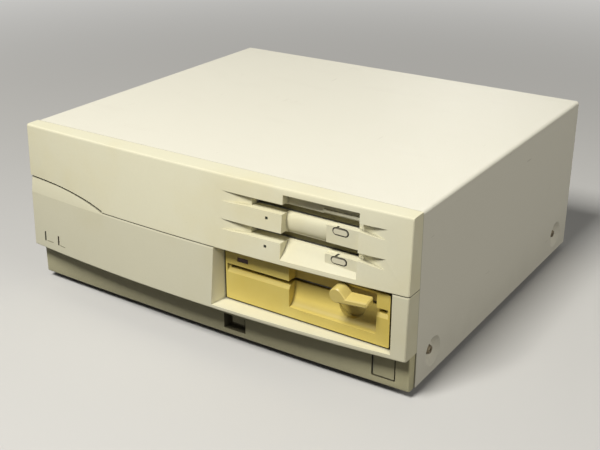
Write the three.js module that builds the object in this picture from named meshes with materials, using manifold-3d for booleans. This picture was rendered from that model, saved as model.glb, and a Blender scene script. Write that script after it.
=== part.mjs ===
// Desktop computer of the early 1990s: steel case, moulded front, three disk drives
// Millimetres, +Z up, front facing -Y, origin under the centre of the case at floor level
import * as THREE from 'three';
import { mergeVertices } from 'three/addons/utils/BufferGeometryUtils.js';
import { ConvexGeometry } from 'three/addons/geometries/ConvexGeometry.js';
import Module from 'manifold-3d';

const wasm = await Module();
wasm.setup();

// Overall size
const caseWidth = 380;
const sideDepth = 335;
const caseHeight = 150;

// Clearances and cutting
const gap = 0.3;
const shadowGap = 1.2;
const overrun = 2;
const mergeTolerance = 1e-4;

// Facets of round forms
const cornerFacets = 3;
const bendFacets = 4;
const socketFacets = 5;
const pillFacets = 6;
const pinSides = 12;
const postSides = 16;
const discSides = 20;
const ringSides = 28;

// Front face: leans back towards the top and bows forward between its ends
const bowAtTop = 3.7;
const bowAtSeam = 8.3;
const bowAtLip = 10.3;
const topSetback = 4.5;
const lipHeight = 37;
const seamHeight = 89.6;
const bezelDepth = 18.5;
const bezelWall = 2.6;
const bezelEdgeRadius = 1.6;
const seamEdgeRadius = 0.6;
const bowFacets = 12;

// Sweeping cut where the upper panel ends on the left
const sweepEndX = -99;
const sweepEndRise = 1.9;
const sweepSideRise = 14.2;
const sweepShoulderX = -133;
const sweepShoulderRise = 14;
const sweepGap = 1.9;
const sweepStep = 2;
const creaseDrop = 1.6;
const sweepSetback = 2.4;
const sweepFacets = 10;

// Bay for the large drive in the lower panel
const bayLeft = 20.3;
const bayRight = 178.4;
const sillFront = 40.3;
const bayWall = 2.2;

// Lamp slits in the lower panel
const slitHeight = 8.6;
const slitWidth = 1.3;
const slitBottom = 44.6;
const slitPlaces = [-174.2, -156.3];
const slitRadius = 0.4;
const lampSetback = 0.9;
const lampPadHalf = 3.9;

// Small drives seen through the upper panel
const unitDrop = 12.8;
const unitPitch = 22.5;
const grooveTipLeft = 27.5;
const grooveTipRight = 171;
const grooveTipDrop = 8.2;
const grooveLipDrop = 5.7;
const recessLeft = 83.2;
const recessRight = 147.9;
const recessDepth = 8;
const recessWall = 2.2;
const slotLeft = 53.4;
const slotRight = 144.8;
const slotDrop = 1.6;
const slotHeight = 6.1;
const notchDrop = 5.1;
const ledgeLeft = 114.5;
const ledgeHeight = 2;
const ledgeProud = 1.5;
const padLeft = 119;
const padDepth = 4;
const padDrop = 8.6;
const padHeight = 13.8;
const padToothWidth = 11;
const padToothRise = 0.8;
const rollBulge = 2.6;
const rollDrop = 7.9;
const rollHeight = 14.9;
const rollFacets = 8;
const slopeDrop = 20.8;
const slopeEdge = 0.3;
const slopeHollow = 1.1;
const ejectCentreX = 131.2;
const ejectDrop = 11.8;
const ejectWidth = 12.6;
const ejectHeight = 4.9;
const ejectGap = 0.75;
const ejectProud = 0.5;
const ejectTravel = 3.5;
const lampHoleX = 69.7;
const lampHoleDrop = 13;
const lampHoleSize = 2.3;

// Plinth under the lip
const plinthInset = 1;
const plinthSetback = 10.3;
const plinthBow = 2.6;
const plinthBottom = 6;
const plinthWall = 2.4;
const plinthEdgeRadius = 1.2;

// Power button and reset recess in the plinth
const powerCentreX = 167.4;
const powerCentreZ = 21.6;
const powerWidth = 18.4;
const powerHeight = 18;
const powerGap = 0.9;
const powerSetback = 0.5;
const powerTravel = 3.5;
const powerCorner = 1;
const powerLength = 6.5;
const powerRodRadius = 2.5;
const powerRodEntry = 2;
const resetLeft = 19.2;
const resetRight = 40.7;
const resetTop = 24.4;
const resetBottom = 11;
const resetDepth = 9;
const resetCapInset = 6;
const resetCapHeight = 6.4;
const resetCapLift = 1.7;
const resetCapProud = 5.5;
const resetTravel = 2;

// Steel cover
const coverWall = 1.2;
const coverBottom = 6.6;
const coverCorner = 2.6;
const dimpleRadius = 12.4;
const dimpleFloorRadius = 6.8;
const dimpleDepth = 4.5;
const screwHeight = 25;
const frontScrewDepth = 46.7;
const rearScrewDepth = 306.7;
const screwHeadRadius = 4.1;
const screwHeadHeight = 2.3;
const screwRadius = 1.9;
const screwLength = 3.5;
const screwSlotWidth = 1;
const screwSlotDepth = 1.1;
const screwTopShare = 0.72;
const screwSlotShare = 0.55;

// Chassis
const steel = 1.2;
const chassisFloor = 7.2;
const flangeHeight = 33;
const chassisFront = 22.1;
const panelTopDrop = 2.4;
const subframeDepth = 20.5;
const rearInset = 5;
const footRadius = 9;
const footSink = 1;
const footInset = 34;
const footFrontDepth = 46;
const footRearDepth = 300;
const standoffRadius = 3.4;
const standoffHeight = 6;
const bossRadius = 4;
const ventWidth = 3;
const ventLength = 34;
const ventCount = 8;
const ventPitch = 8;
const ventStart = -120;
const ventDepth = 60;
const subframeLip = 8;
const subframeClearance = 1.3;
const airLeft = -163.4;
const airCount = 8;
const airPitch = 16;
const airWidth = 6;
const airBottom = 99.6;
const airHeight = 34;
const upperBossShares = [-0.8, -0.3, 0.96];
const lowerBossShares = [-0.93, -0.45, 0, 0.955];
const plinthBossShares = [-0.9, -0.45, 0.45];
const footStem = 3;
const footToeShare = 0.82;

// Large drive
const largeFaceWidth = 148.6;
const largeFaceHeight = 43.6;
const largeFaceBottom = 42.7;
const largeFaceLeft = 25.7;
const largeFaceDepth = 4;
const largeFaceThickness = 12;
const largeBodyWidth = 146;
const largeBodyHeight = 41.3;
const largeBodyLength = 186;
const largeSlotHeight = 2.6;
const largeSlotRise = 28;
const largeTrayLength = 140;
const largeSlotMargin = 4;
const largeMouthRise = 30.9;
const largeBevelRise = 23.6;
const largeBevelHeight = 2.6;
const largeBevelDepth = 2;
const largeLipDepth = 6;
const palmLeft = 60.6;
const palmRight = 137.3;
const palmDepth = 9;
const palmBottom = 8.6;
const palmFacets = 8;
const palmTopMargin = 1.6;
const dishRadius = 12.3;
const dishCentreX = 112;
const dishRise = 24.4;
const dishExtra = 1.2;
const largeLampLeft = 11.7;
const largeLampWidth = 10;
const largeLampHeight = 3.1;
const largeLampRise = 35;
const largeFaceCorner = 0.8;
const largeLipMargin = 1.6;
const largePlugShares = [0.62, 0.95];
const driveplugDepth = 5;
const driveplugRise = 4;
const driveplugHeight = 8;
const driveStep = 6;

// Lever of the large drive
const leverX = 109.6;
const leverRise = 37.6;
const leverHeadRadius = 6.5;
const leverHeadFrontRadius = 5.9;
const leverShaftRadius = 3.2;
const leverFront = -8;
const leverBack = 2;
const leverShaftEnd = 24;
const leverBevel = 0.9;
const leverNeckReach = 8.3;
const leverNeckRises = [-4.9, -0.7, -5.6, 1.2];
const leverEndReach = 26.2;
const leverEndRises = [-3.4, 0.8, -3.9, 2.1];
const leverNeckInset = 0.2;
const leverFacets = 20;

// Small drives
const smallWidth = 101.6;
const smallHeight = 21.4;
const smallLength = 148;
const smallCentreX = 101.2;
const smallTopMargin = 2.4;
const smallTrayDepth = 96;
const smallTrayMargin = 0.4;
const flapThickness = 1;
const flapPin = 0.9;
const flapMargin = 0.5;
const flapPinLength = 1.6;
const flapInset = 0.8;
const flapLift = 0.2;
const ejectLength = 8;
const lampSink = 0.6;
const smallPlugWidth = 50.8;

// Drive cage
const cageFront = 23;
const cageSetback = 26;
const cageHole = 22;
const cageHoleCount = 4;
const cageToe = 8;

// Power supply and fan
const supplyWidth = 128;
const supplyClearance = 8.2;
const supplyHeight = 88;
const supplyRight = 181;
const fanSize = 70;
const fanDepth = 25;
const fanBore = 32.5;
const fanCentreX = 95;
const fanCentreZ = 52;
const fanHubRadius = 14;
const fanBladeGap = 1;
const fanBlades = 7;
const fanTwist = 0.55;
const fanBladeThickness = 1.6;
const fanAir = 18;
const fanStrut = 5;
const fanShaftRadius = 2;
const grilleRing = 2;
const grilleGap = 5;
const grilleCount = 4;
const fanCorner = 4;
const supplyVents = 5;

// Rear sockets
const inletCentreX = 155;
const inletCentreZ = 75;
const inletWidth = 28;
const inletHeight = 20;
const inletLength = 24;
const outletCentreZ = 36;
const keyboardX = -166;
const mouseX = -145;
const serialX = -102;
const printerX = -38;
const displayX = 12;
const soundX = 39;
const dinSize = 15;
const smallDinSize = 12;
const serialWidth = 53;
const shellHeight = 12;
const printerWidth = 56;
const printerHeight = 13;
const displayWidth = 33;
const jackSize = 8;
const jackBore = 1.8;
const tongueShare = 0.62;
const tongueHeight = 3;
const socketProud = 4.2;
const socketLift = 1;
const socketShell = 1;
const socketLength = 12;
const socketLeanShare = 0.4;
const inletFlange = 2.4;
const inletWall = 2;
const inletRecess = 16;
const inletPin = 2;
const inletPinShares = [[-0.24, -0.1], [0.24, -0.1], [0, 0.2]];
const thumbRadius = 4;
const cardMarginShare = 0.1;

// Boards
const boardThickness = 1.6;
const boardLeft = -178;
const boardRight = 44;
const boardFront = 190;
const boardTongue = 120;
const boardNeck = 20;
const tongueLead = 13.6;
const tongueTail = 5.4;
const riserX = -24;
const cardCount = 3;
const cardPitch = 25;
const cardBottom = 63;
const cardLeft = -176;
const coverPlateHeight = 20;
const coverPlateThickness = 1.2;
const coverRibHeight = 4;
const riserSetback = 13;
const riserLength = 120;
const headerHeight = 9;
const chipSize = 22;
const chipPlaceShares = [[0.1, 0.32], [0.3, 0.54], [0.8, 0.16], [0.8, 0.48]];
const chipSizeShares = [[1, 1], [1, 1.6], [1, 1], [1.4, 1]];
const headerWall = 2.6;
const chipHeight = 3.6;
const memoryLeft = -172;
const memoryLength = 116;
const memoryThickness = 1.4;
const memorySocket = 2.6;
const memoryHeight = 26;
const memoryInset = 22;
const memoryPitch = 12;
const memoryChips = 8;
const memoryChipGap = 2.2;
const memoryChipRise = 10;
const memoryChipHeight = 13;
const processorX = -62;
const processorInset = 58.5;
const processorSize = 44;
const processorHeight = 4;
const sinkBase = 2;
const sinkHeight = 15;
const sinkFin = 1.6;
const sinkFins = 8;
const batteryRadius = 11;
const batteryHeight = 6;
const batteryInset = 32.5;

// Hard disk
const hardWidth = 101.6;
const hardHeight = 25.4;
const hardLength = 146;
const hardLeft = -150;
const hardFront = 38;
const hardRise = 4;
const hardLid = 5;
const hardPlugRise = 14;

// Cables and speaker
const cableLeft = 62;
const cableWidth = 46;
const cableThickness = 1.3;
const cableBend = 7;
const speakerX = -11;
const speakerDepth = 84;
const speakerRadius = 24;
const speakerHeight = 20;
const speakerRim = 4;
const magnetRadius = 12;
const magnetRise = 12;

// Derived frame of the case
const halfWidth = caseWidth / 2;
const cornerY = (bowAtLip - sideDepth) / 2;
const rearY = cornerY + sideDepth;
const plinthHalfWidth = halfWidth - plinthInset;
const unitTop = caseHeight - unitDrop;
const notchTop = caseHeight - notchDrop;
const panelTop = caseHeight - panelTopDrop;
const unitCount = 2;

const depthAt = depth => cornerY + depth;

// Colours from the photograph
const warmWhite = 0xd3ceb4;
const paleBeige = 0xc4bd9f;
const paintBeige = 0xd8d3c2;
const yellowed = 0xcfb45c;
const plated = 0xb4b6b4;
const dark = 0x24241f;
const boardGreen = 0x24523a;
const lampBrown = 0x6a3a28;
const cableGrey = 0x9d9f9c;

// Front surface: y of the face at a place across and a height
function frontFace(x, z) {
  const lean = topSetback * (z - lipHeight) / (caseHeight - lipHeight);
  const lower = THREE.MathUtils.mapLinear(z, lipHeight, seamHeight, bowAtLip, bowAtSeam);
  const upper = THREE.MathUtils.mapLinear(z, seamHeight, caseHeight, bowAtSeam, bowAtTop);
  const bow = z < seamHeight ? lower : upper;
  return cornerY + lean - bow * (1 - (x / halfWidth) ** 2);
}

function plinthFace(x) {
  return depthAt(plinthSetback) - plinthBow * (1 - (x / plinthHalfWidth) ** 2);
}

// Solid from a closed geometry
function solidOf(geometry) {
  geometry.deleteAttribute('normal');
  geometry.deleteAttribute('uv');
  const merged = mergeVertices(geometry, mergeTolerance);
  const vertProperties = new Float32Array(merged.attributes.position.array);
  const triVerts = new Uint32Array(merged.index.array);
  return new wasm.Manifold(new wasm.Mesh({ numProp: 3, vertProperties, triVerts }));
}

// Named mesh from a solid
function piece(name, solid, look) {
  const mesh = solid.getMesh();
  const geometry = new THREE.BufferGeometry();
  geometry.setAttribute('position', new THREE.BufferAttribute(mesh.vertProperties, 3));
  geometry.setIndex(new THREE.BufferAttribute(mesh.triVerts, 1));
  geometry.computeVertexNormals();
  const made = new THREE.Mesh(geometry, look());
  made.name = name;
  return made;
}

function look(color, roughness, metalness) {
  return () => new THREE.MeshStandardMaterial({ color, roughness, metalness });
}

function joined(solids) {
  return solids.reduce((all, next) => all.add(next));
}

function without(solid, cutters) {
  return cutters.reduce((left, cutter) => left.subtract(cutter), solid);
}

function block(x0, x1, y0, y1, z0, z1) {
  const geometry = new THREE.BoxGeometry(x1 - x0, y1 - y0, z1 - z0);
  geometry.translate((x0 + x1) / 2, (y0 + y1) / 2, (z0 + z1) / 2);
  return solidOf(geometry);
}

// Round bar between two ends along one axis, from a centre
function rod(axis, radius, from, to, centre, sides = 24) {
  const geometry = new THREE.CylinderGeometry(radius, radius, to - from, sides);
  geometry.translate(0, (from + to) / 2, 0);
  return solidOf(turnTo(axis, geometry, centre));
}

// Cone or disc with two radii along one axis
function cone(axis, radiusFrom, radiusTo, from, to, centre, sides = 32) {
  const geometry = new THREE.CylinderGeometry(radiusTo, radiusFrom, to - from, sides);
  geometry.translate(0, (from + to) / 2, 0);
  return solidOf(turnTo(axis, geometry, centre));
}

function turnTo(axis, geometry, centre) {
  if (axis === 'x') {
    geometry.rotateZ(-Math.PI / 2);
  }
  if (axis === 'z') {
    geometry.rotateX(Math.PI / 2);
  }
  geometry.translate(...centre);
  return geometry;
}

// Outline in x and z, drawn through in y
function prismY(shape, y0, y1, curveSegments = 8) {
  const geometry = new THREE.ExtrudeGeometry(shape, { depth: y1 - y0, bevelEnabled: false, curveSegments });
  geometry.rotateX(Math.PI / 2);
  geometry.translate(0, y1, 0);
  return solidOf(geometry);
}

// Outline in y and z, drawn through in x
function prismX(shape, x0, x1, curveSegments = 8) {
  const geometry = new THREE.ExtrudeGeometry(shape, { depth: x1 - x0, bevelEnabled: false, curveSegments });
  const across = new THREE.Vector3(0, 1, 0);
  const up = new THREE.Vector3(0, 0, 1);
  const along = new THREE.Vector3(1, 0, 0);
  geometry.applyMatrix4(new THREE.Matrix4().makeBasis(across, up, along));
  geometry.translate(x0, 0, 0);
  return solidOf(geometry);
}

// Outline in x and y, drawn up in z
function prismZ(shape, z0, z1, curveSegments = 8) {
  const geometry = new THREE.ExtrudeGeometry(shape, { depth: z1 - z0, bevelEnabled: false, curveSegments });
  geometry.translate(0, 0, z0);
  return solidOf(geometry);
}

function polygon(points) {
  return new THREE.Shape(points.map(([a, b]) => new THREE.Vector2(a, b)));
}

function roundedRect(left, right, low, high, radius) {
  const shape = new THREE.Shape();
  shape.moveTo(left + radius, low);
  shape.lineTo(right - radius, low);
  shape.absarc(right - radius, low + radius, radius, -Math.PI / 2, 0);
  shape.lineTo(right, high - radius);
  shape.absarc(right - radius, high - radius, radius, 0, Math.PI / 2);
  shape.lineTo(left + radius, high);
  shape.absarc(left + radius, high - radius, radius, Math.PI / 2, Math.PI);
  shape.lineTo(left, low + radius);
  shape.absarc(left + radius, low + radius, radius, Math.PI, Math.PI * 1.5);
  return shape;
}

function mirrored(solid) {
  return solid.mirror([1, 0, 0]);
}

// Angles of a quarter turn in equal steps, both ends included
function quarterTurns(steps) {
  return Array.from({ length: steps + 1 }, (_, i) => i / steps * Math.PI / 2);
}

// Slab whose front follows a face: each level has a height and a setback from the face
function bowedSlab(levels, face, half, cornerRadius, backY) {
  const cornerTurns = quarterTurns(3);
  const left = cornerTurns.map(turn => {
    return [-half + cornerRadius * (1 - Math.cos(turn)), cornerRadius * (1 - Math.sin(turn))];
  });
  const inner = half - cornerRadius;
  const middle = Array.from({ length: bowFacets - 1 }, (_, i) => [inner * (2 * (i + 1) / bowFacets - 1), 0]);
  const right = left.map(([x, inset]) => [-x, inset]).reverse();
  const front = [...left, ...middle, ...right];
  const outline = new THREE.Shape();
  front.forEach(([x], i) => (i ? outline.lineTo(x, -1 - i) : outline.moveTo(x, -1)));
  const backMark = half;
  outline.lineTo(half, backMark);
  outline.lineTo(-half, backMark);
  const steps = levels.length - 1;
  const geometry = new THREE.ExtrudeGeometry(outline, { depth: steps, steps, bevelEnabled: false });
  const spot = geometry.attributes.position;
  for (let i = 0; i < spot.count; i += 1) {
    const [z, setback] = levels[Math.round(spot.getZ(i))];
    const x = spot.getX(i);
    const mark = spot.getY(i);
    const y = mark > 0 ? backY : face(x, z) + setback + front[Math.round(-1 - mark)][1];
    spot.setXYZ(i, x, y, z);
  }
  return solidOf(geometry);
}

// Levels that round the face's lower and upper edges
function roundedLevels(low, high, lowRadius, highRadius) {
  const turns = quarterTurns(2).slice(0, -1);
  const [rise, inset] = [turn => 1 - Math.cos(turn), turn => 1 - Math.sin(turn)];
  const lower = turns.map(turn => [low + lowRadius * rise(turn), lowRadius * inset(turn)]);
  const upper = turns.map(turn => [high - highRadius * rise(turn), highRadius * inset(turn)]);
  const flats = [[low + lowRadius, 0], [high - highRadius, 0]];
  return [...lower, ...flats, ...upper.reverse()];
}

// Sweeping curve on the left, as an outline edge from the side to its end
function sweepPoints(lift, endX, endZ) {
  const start = new THREE.Vector2(-halfWidth, seamHeight + sweepSideRise + lift);
  const shoulder = new THREE.Vector2(sweepShoulderX, seamHeight + sweepShoulderRise + lift);
  const curve = new THREE.QuadraticBezierCurve(start, shoulder, new THREE.Vector2(endX, endZ));
  return curve.getPoints(sweepFacets).map(p => [p.x, p.y]);
}

// Region that the sweep takes off the upper panel and off its inside
function belowSweep(wall) {
  const endX = sweepEndX + wall;
  const curve = sweepPoints(wall, endX, seamHeight + sweepEndRise + wall);
  const outside = -halfWidth - overrun;
  return polygon([[outside, lipHeight], [outside, curve[0][1]], ...curve, [endX, lipHeight]]);
}

// Outline of the lower panel from its lip to the sweep and the seam
function lowerOutline(wall) {
  const high = seamHeight - gap - wall;
  const curve = sweepPoints(-sweepGap - wall, sweepEndX - sweepStep - wall, high);
  const outside = halfWidth + overrun;
  const low = lipHeight - overrun;
  return polygon([[-outside, low], [-outside, curve[0][1]], ...curve, [outside, high], [outside, low]]);
}

// Height marks of one small drive unit, counted from the top
function unitLevel(unit) {
  return unitTop - unit * unitPitch;
}

// Wedge of a finger groove from its tip into the recess, a little shallower than the recess
function grooveWedge(tipX, endX, top) {
  const inward = Math.sign(endX - tipX) * overrun;
  const floorLow = top - slotDrop - slotHeight + gap;
  const tips = [top, top - grooveTipDrop].map(z => new THREE.Vector3(tipX, frontFace(tipX, z), z));
  const ends = [top, top - grooveLipDrop].map(z => new THREE.Vector3(endX, frontFace(endX, z), z));
  const floors = [top, floorLow].map(z => new THREE.Vector3(endX + inward, recessFloor() - gap, z));
  const reach = 1 + overrun / Math.abs(endX - tipX);
  const onward = ends.map((place, i) => tips[i].clone().lerp(place, reach));
  const outer = [...tips, ...onward].map(({ x, y, z }) => new THREE.Vector3(x, y - overrun, z));
  return solidOf(new ConvexGeometry([...tips, ...onward, ...floors, ...outer]));
}

// Upper front panel
function upperPanel() {
  const backY = depthAt(bezelDepth);
  const low = seamHeight + gap;
  const outerLevels = roundedLevels(low, caseHeight, seamEdgeRadius, bezelEdgeRadius);
  const outer = bowedSlab(outerLevels, frontFace, halfWidth, bezelEdgeRadius, backY);
  const innerLow = low + bezelWall;
  const innerHigh = caseHeight - bezelWall;
  const innerLevels = [[innerLow, bezelWall], [innerHigh, bezelWall]];
  const innerHalf = halfWidth - bezelWall;
  const hollow = bowedSlab(innerLevels, frontFace, innerHalf, bezelEdgeRadius, backY + overrun);
  const behind = backY + overrun;
  const ahead = depthAt(-bowAtLip - overrun);
  const sweepCut = prismY(belowSweep(0), ahead, behind);
  const sweepWall = prismY(belowSweep(bezelWall), ahead, behind);
  const shell = outer.subtract(sweepCut).subtract(hollow.subtract(sweepWall));
  const backing = unitBacking();
  const bosses = joined(upperBossShares.map(share => bossAt(caseHeight - 3 * bossRadius)(share * halfWidth)));
  const room = outer.add(block(-halfWidth, halfWidth, backY, depthAt(subframeDepth), low, caseHeight));
  return without(joined([shell, backing, bosses.intersect(room)]), unitCutters());
}

// Boss from the front wall back to the subframe
function bossAt(height) {
  const back = depthAt(subframeDepth) - gap;
  return x => rod('y', bossRadius, frontFace(x, height) + bezelWall / 2, back, [x, 0, height], postSides);
}

// Walls that carry the grooves and the finger recess
function unitBacking() {
  const backY = recessFloor() + recessWall;
  const lift = unitTop + recessWall;
  const half = bezelWall / 2;
  const low = seamHeight + gap + half;
  const high = caseHeight - half;
  const levels = [[low, half], [high, half]];
  const slab = bowedSlab(levels, frontFace, halfWidth - bezelWall, bezelEdgeRadius, backY);
  const ahead = depthAt(-bowAtLip);
  const centre = block(recessLeft - recessWall, recessRight + recessWall, ahead, rearY, low, high);
  const left = grooveTipLeft + bezelWall;
  const right = grooveTipRight - bezelWall;
  const drop = unitPitch - recessWall;
  const troughs = Array.from({ length: unitCount }, (_, unit) => {
    const top = lift - unit * unitPitch;
    return block(left, right, ahead, rearY, top - drop + recessWall, top);
  });
  return slab.intersect(joined([centre, ...troughs]));
}

// Everything cut out of the upper panel for the two small drives
function unitCutters() {
  const ahead = depthAt(-bowAtLip - overrun);
  const behind = rearY;
  const floorY = recessFloor();
  const bottom = unitLevel(1) - slopeDrop;
  const recess = block(recessLeft, recessRight, ahead, floorY, bottom, notchTop);
  const parts = joined([rollBar(), slopeBar(), ledge(), ...[0, 1].map(padBlock)]);
  const slots = [0, 1].map(unit => {
    return block(slotLeft, slotRight, ahead + recessDepth, behind, ...slotRange(unit));
  });
  const grooves = [0, 1].flatMap(unit => [
    grooveWedge(grooveTipLeft, recessLeft, unitLevel(unit)),
    grooveWedge(grooveTipRight, recessRight, unitLevel(unit)),
  ]);
  const holes = [0, 1].flatMap(unit => {
    return [ejectHole(unit, ejectGap, ahead, behind), lampHole(unit, gap, ahead, behind)];
  });
  return [recess.subtract(parts), ...slots, ...grooves, ...holes];
}

function recessFloor() {
  return frontFace(recessLeft, unitTop) + recessDepth;
}

// Ledge above the first slot, beside the notch for the fingers
function ledge() {
  const floorY = recessFloor();
  const right = recessRight + overrun;
  return block(ledgeLeft, right, floorY - ledgeProud, floorY + overrun, unitTop, unitTop + ledgeHeight);
}

// Rounded bar between the two slots
function rollBar() {
  const floorY = recessFloor();
  const high = unitTop - rollDrop;
  const low = high - rollHeight;
  const middle = (low + high) / 2;
  const points = Array.from({ length: rollFacets + 1 }, (_, i) => {
    const turn = Math.PI * (i / rollFacets - 0.5);
    return [floorY - rollBulge * Math.cos(turn), middle + rollHeight / 2 * Math.sin(turn)];
  });
  const profile = polygon([[floorY + overrun, low], ...points, [floorY + overrun, high]]);
  return prismX(profile, recessLeft - overrun, recessRight + overrun);
}

// Hollowed slope below the second slot: its lower edge follows the bowed face
function slopeBar() {
  const floorY = recessFloor();
  const low = unitLevel(1) - slopeDrop;
  const high = unitLevel(1) - rollDrop;
  const shareAt = z => THREE.MathUtils.clamp((z - low) / (high - low), 0, 1);
  const slope = (x, z) => THREE.MathUtils.lerp(frontFace(x, low) + slopeEdge, floorY, shareAt(z));
  const levels = Array.from({ length: rollFacets + 1 }, (_, i) => {
    const share = i / rollFacets;
    return [THREE.MathUtils.lerp(low, high, share), Math.sin(Math.PI * share) * slopeHollow];
  });
  const behind = floorY + overrun;
  const start = low - overrun;
  const slab = bowedSlab([[start, 0], ...levels], slope, halfWidth, bezelEdgeRadius, behind);
  const room = block(recessLeft - overrun, recessRight + overrun, depthAt(-bowAtLip), behind, start, high);
  return slab.intersect(room);
}

// Flat pad round the eject button, with a raised tooth on its top edge
function padBlock(unit) {
  const high = unitLevel(unit) - padDrop;
  const low = high - padHeight;
  const faceY = padFace(unit);
  const right = recessRight + overrun;
  const behind = recessFloor() + overrun;
  const pad = block(padLeft, right, faceY, behind, low, high);
  const toothLeft = padLeft + padToothWidth;
  const tooth = block(toothLeft, right, faceY, behind, high - overrun, high + padToothRise);
  return pad.add(tooth);
}

function padFace(unit) {
  return frontFace(ejectCentreX, unitLevel(unit) - ejectDrop) + padDepth;
}

// Pill outline of the eject button
function ejectOutline(unit, grow) {
  const z = unitLevel(unit) - ejectDrop;
  const radius = ejectHeight / 2 + grow;
  const reach = (ejectWidth - ejectHeight) / 2;
  const shape = new THREE.Shape();
  shape.moveTo(ejectCentreX - reach, z - radius);
  shape.lineTo(ejectCentreX + reach, z - radius);
  shape.absarc(ejectCentreX + reach, z, radius, -Math.PI / 2, Math.PI / 2);
  shape.lineTo(ejectCentreX - reach, z + radius);
  shape.absarc(ejectCentreX - reach, z, radius, Math.PI / 2, Math.PI * 1.5);
  return shape;
}

function ejectHole(unit, grow, ahead, behind) {
  return prismY(ejectOutline(unit, grow), ahead, behind, pillFacets);
}

function lampHole(unit, grow, ahead, behind) {
  const z = unitLevel(unit) - lampHoleDrop;
  const half = lampHoleSize / 2;
  return block(lampHoleX - half, lampHoleX + half, ahead, behind, z - half, z + half);
}

// Lower front panel with the swept shelf, the drive bay and the lamp slits
function lowerPanel() {
  const backY = depthAt(bezelDepth);
  const ahead = depthAt(-bowAtLip - overrun);
  const behind = backY + overrun;
  const crease = seamHeight - creaseDrop;
  const shelfHigh = seamHeight + sweepSideRise;
  const [, ...lipLevels] = roundedLevels(lipHeight, crease, bezelEdgeRadius, 0).slice(0, -1).reverse();
  const levels = [...lipLevels.reverse(), [crease, 0], [shelfHigh, 0]];
  const slab = bowedSlab(levels, shelfFace, halfWidth, bezelEdgeRadius, backY);
  const outer = slab.intersect(prismY(lowerOutline(0), ahead, behind));
  const innerLevels = [[lipHeight + bezelWall, bezelWall], [crease, bezelWall], [shelfHigh, bezelWall]];
  const space = bowedSlab(innerLevels, shelfFace, halfWidth - bezelWall, bezelEdgeRadius, behind);
  const hollow = space.intersect(prismY(lowerOutline(bezelWall), ahead, behind));
  const tunnel = bayBlock(bayWall).intersect(outer);
  const bossLevel = (lipHeight + seamHeight) / 2;
  const bosses = lowerBossShares.map(share => bossAt(bossLevel)(share * halfWidth));
  const slits = slitPlaces.map(x => slitPrism(x, gap, ahead, behind));
  return without(joined([outer.subtract(hollow), tunnel, ...bosses]), [bayBlock(0), ...slits]);
}

// Face of the lower panel: straight up to the crease, then set back along the shelf
function shelfFace(x, z) {
  const crease = seamHeight - creaseDrop;
  const tilt = sweepSetback / (sweepSideRise + creaseDrop);
  return z < crease ? frontFace(x, z) : frontFace(x, crease) + (z - crease) * tilt;
}

// Tapering bay: plan outline crossed with a side outline whose floor slopes up
function bayBlock(grow) {
  const front = depthAt(-bowAtLip - overrun);
  const back = depthAt(bezelDepth) + (grow ? 0 : overrun);
  const faceY = depthAt(largeFaceDepth);
  const left = largeFaceLeft - shadowGap - grow;
  const right = largeFaceLeft + largeFaceWidth + shadowGap + grow;
  const slopeLeft = (left - bayLeft + grow) / (faceY - frontFace(bayLeft, sillFront));
  const slopeRight = (bayRight + grow - right) / (faceY - frontFace(bayRight, sillFront));
  const plan = polygon([
    [left - slopeLeft * (faceY - front), front],
    [right + slopeRight * (faceY - front), front],
    [right, faceY],
    [right, back],
    [left, back],
    [left, faceY],
  ]);
  const floor = largeFaceBottom - shadowGap - grow;
  const sill = sillFront - grow;
  const rise = (floor - sill) / (faceY - frontFace(0, sillFront));
  const top = seamHeight + overrun;
  const side = polygon([
    [front, floor - rise * (faceY - front)],
    [faceY, floor],
    [back, floor],
    [back, top],
    [front, top],
  ]);
  return prismZ(plan, lipHeight, top).intersect(prismX(side, 0, halfWidth));
}

function slitPrism(x, grow, y0, y1) {
  const half = slitWidth / 2 + grow;
  const high = slitBottom + slitHeight + grow;
  const outline = roundedRect(x - half, x + half, slitBottom - grow, high, slitRadius);
  return prismY(outline, y0, y1, cornerFacets);
}

// Light guide seen in a slit
function frontLamp(x) {
  const faceY = frontFace(x, slitBottom + slitHeight / 2) + lampSetback;
  const back = depthAt(subframeDepth) - gap;
  const bar = slitPrism(x, 0, faceY, back);
  const high = slitBottom + slitHeight;
  const pad = block(x - lampPadHalf, x + lampPadHalf, depthAt(bezelDepth), back, slitBottom, high);
  return bar.add(pad);
}

// Plinth panel under the lip
function plinthPanel() {
  const high = lipHeight - gap;
  const backY = depthAt(bezelDepth);
  const behind = depthAt(subframeDepth);
  const levels = roundedLevels(plinthBottom, high, plinthEdgeRadius, plinthEdgeRadius);
  const outer = bowedSlab(levels, plinthFace, plinthHalfWidth, plinthEdgeRadius, backY);
  const innerLevels = [[plinthBottom - overrun, plinthWall], [high - plinthWall, plinthWall]];
  const hollow = bowedSlab(innerLevels, plinthFace, plinthHalfWidth - plinthWall, plinthEdgeRadius, behind);
  const ahead = depthAt(plinthSetback - plinthBow - overrun);
  const floorY = plinthFace(resetLeft) + resetDepth;
  const half = plinthWall / 2;
  const cup = block(
    resetLeft - half, resetRight + half,
    plinthFace(0) + half, floorY + half,
    resetBottom - half, resetTop + half,
  );
  const cupVoid = block(resetLeft, resetRight, ahead, floorY, resetBottom, resetTop);
  const capHole = block(...resetCapSpan(gap), ahead, behind, ...resetCapRise(gap));
  const powerHole = prismY(powerOutline(powerGap), ahead, behind, cornerFacets);
  const bosses = plinthBossShares.map(share => plinthBoss(share * plinthHalfWidth));
  return without(joined([outer.subtract(hollow), cup, ...bosses]), [cupVoid, capHole, powerHole]);
}

function plinthBoss(x) {
  const z = plinthBottom + plinthEdgeRadius + bossRadius;
  const back = depthAt(subframeDepth) - gap;
  return rod('y', bossRadius, plinthFace(x) + plinthWall / 2, back, [x, 0, z], postSides);
}

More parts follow.
